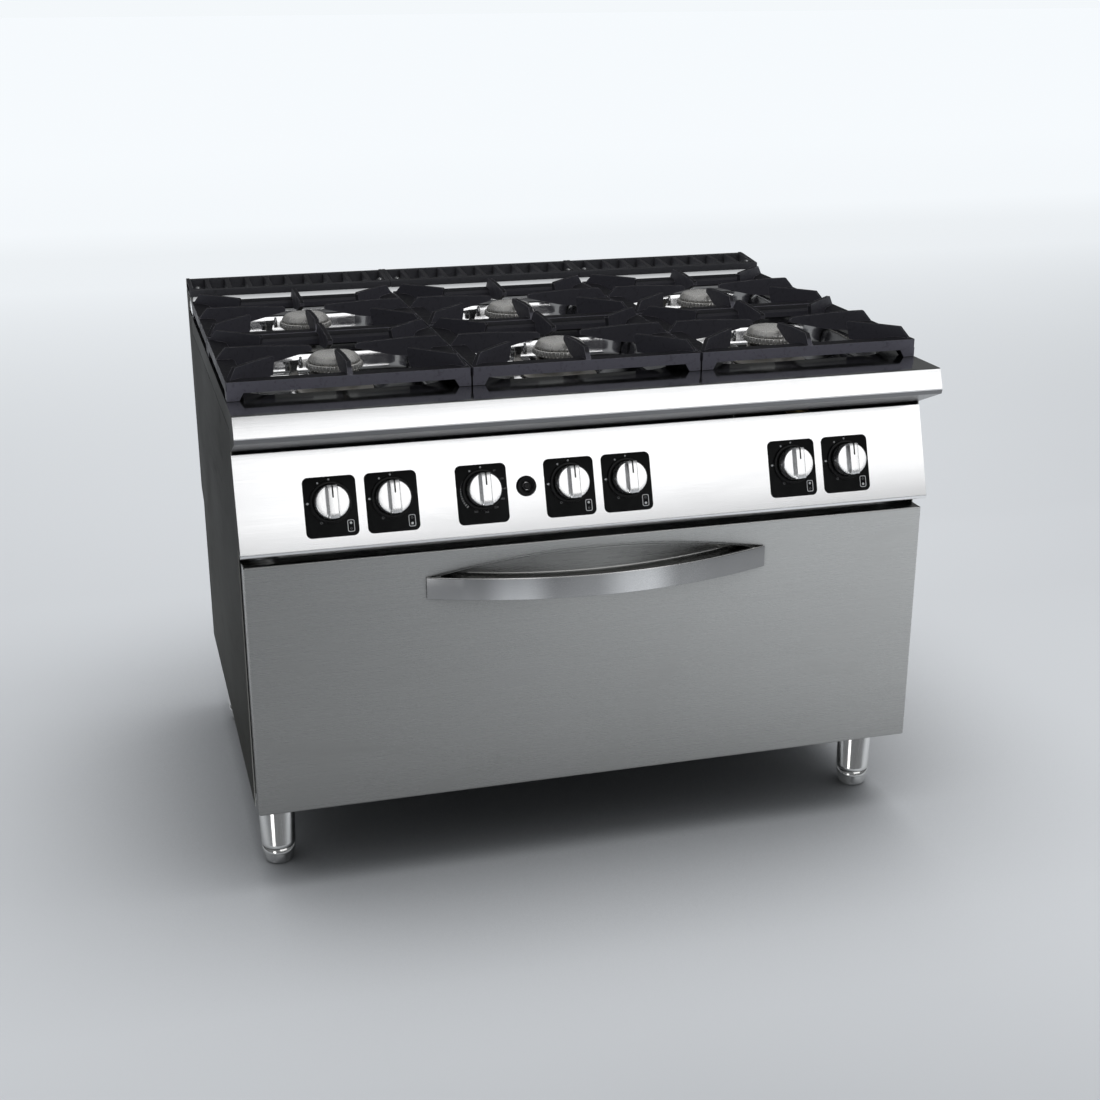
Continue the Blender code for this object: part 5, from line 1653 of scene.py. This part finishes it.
shape = bmesh.new()
shape.faces.new(flat_ring(shape, [(-FLOOR_HALF, -FLOOR_HALF), (FLOOR_HALF, -FLOOR_HALF),
                                  (FLOOR_HALF, FLOOR_HALF), (-FLOOR_HALF, FLOOR_HALF)], 0))
floor = bpy.data.objects.new("floor", solid_mesh(shape))
bpy.context.scene.collection.objects.link(floor)
floor.data.materials.append(floor_material())
floor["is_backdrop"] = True


# ======================================================================= world
def build_world():
    """The room: what the camera sees, what shiny surfaces see, and an overhead fill."""
    world = bpy.data.worlds.new("studio")
    bpy.context.scene.world = world
    world.use_nodes = True
    sky = Graph(world.node_tree)
    sky.tree.nodes.clear()
    path = sky.new("ShaderNodeLightPath").outputs
    direction = sky.split(sky.new("ShaderNodeTexCoord").outputs["Generated"])

    def background(colour, strength=1.0):
        return sky.new("ShaderNodeBackground",
                       {"Color": colour, "Strength": strength}).outputs[0]

    def mix(factor, a, b):
        return sky.new("ShaderNodeMixShader", {0: factor, 1: a, 2: b}).outputs[0]

    # shiny surfaces see a lighter front, a darker back and a dim ceiling
    front_to_back = sky.ramp(sky.remap(direction[1], span=(-0.5, 0.5)),
                             [(0.0, (0.18, 0.185, 0.19)), (1.0, (0.10, 0.103, 0.103))])
    ceiling = sky.remap(direction[2], span=(0.42, 0.90), to=(1.0, 0.40))
    gloss = background(front_to_back, ceiling)
    fill = background(sky.ramp(direction[2], [
        (0.0, 0.008), (0.30, (0.115, 0.12, 0.125)), (1.0, (0.92, 0.94, 0.96))]))
    camera_view = background((0.905, 0.940, 0.965))
    matter = mix(path["Is Glossy Ray"], fill, gloss)
    sky.new("ShaderNodeOutputWorld",
            {"Surface": mix(path["Is Camera Ray"], matter, camera_view)})


build_world()


# ====================================================================== lights
def area(name, location, target, size, power, hidden_from):
    """Rectangular light aimed at a target, unseen by the kinds of ray named."""
    light = bpy.data.lights.new(name, "AREA")
    light.energy = power
    light.shape = "RECTANGLE"
    light.size, light.size_y = size
    ob = bpy.data.objects.new(name, light)
    bpy.context.scene.collection.objects.link(ob)
    ob.location = location
    aim = Vector(target) - Vector(location)
    ob.rotation_euler = aim.to_track_quat("-Z", "Y").to_euler()
    for ray in hidden_from:
        setattr(ob, "visible_" + ray, False)


area("front_softbox", location=(1.9, -5.6, 3.10), target=(0.3, -0.3, 0.75), size=(5.2, 2.6),
     power=50, hidden_from=("diffuse",))
area("leg_card", location=(-2.05, -2.46, 0.40), target=(-0.52, -0.36, 0.1), size=(0.75, 0.6),
     power=4.5, hidden_from=("diffuse", "camera"))
area("key_softbox", location=(0.5, 0.0, 4.2), target=(0.1, -0.2, 0.3), size=(3.8, 3.8),
     power=126, hidden_from=("glossy",))

# ====================================================================== camera
YAW, PITCH, ROLL = math.radians(15.396), math.radians(-19.951), math.radians(-0.145)
camera = bpy.data.cameras.new("camera")
camera_ob = bpy.data.objects.new("camera", camera)
bpy.context.scene.collection.objects.link(camera_ob)
camera_ob.location = (-0.7961, at_depth(-2.5224), 1.4905)
forward = Vector((math.sin(YAW) * math.cos(PITCH), math.cos(YAW) * math.cos(PITCH),
                  math.sin(PITCH)))
level_right = Vector((math.cos(YAW), -math.sin(YAW), 0))
level_up = level_right.cross(forward)
camera_right = level_right * math.cos(ROLL) + level_up * math.sin(ROLL)
camera_up = level_up * math.cos(ROLL) - level_right * math.sin(ROLL)
camera_ob.rotation_mode = "QUATERNION"
camera_ob.rotation_quaternion = Matrix(
    (camera_right, camera_up, -forward)).transposed().to_quaternion()
camera.sensor_width = 36.0
camera.lens = 54.1701818
camera.shift_x = 0.00730909
camera.shift_y = 0.01951818
camera.clip_end = 200
scene = bpy.context.scene
scene.camera = camera_ob
scene.view_settings.view_transform = "Standard"
scene.view_settings.look = "None"

low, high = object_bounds()
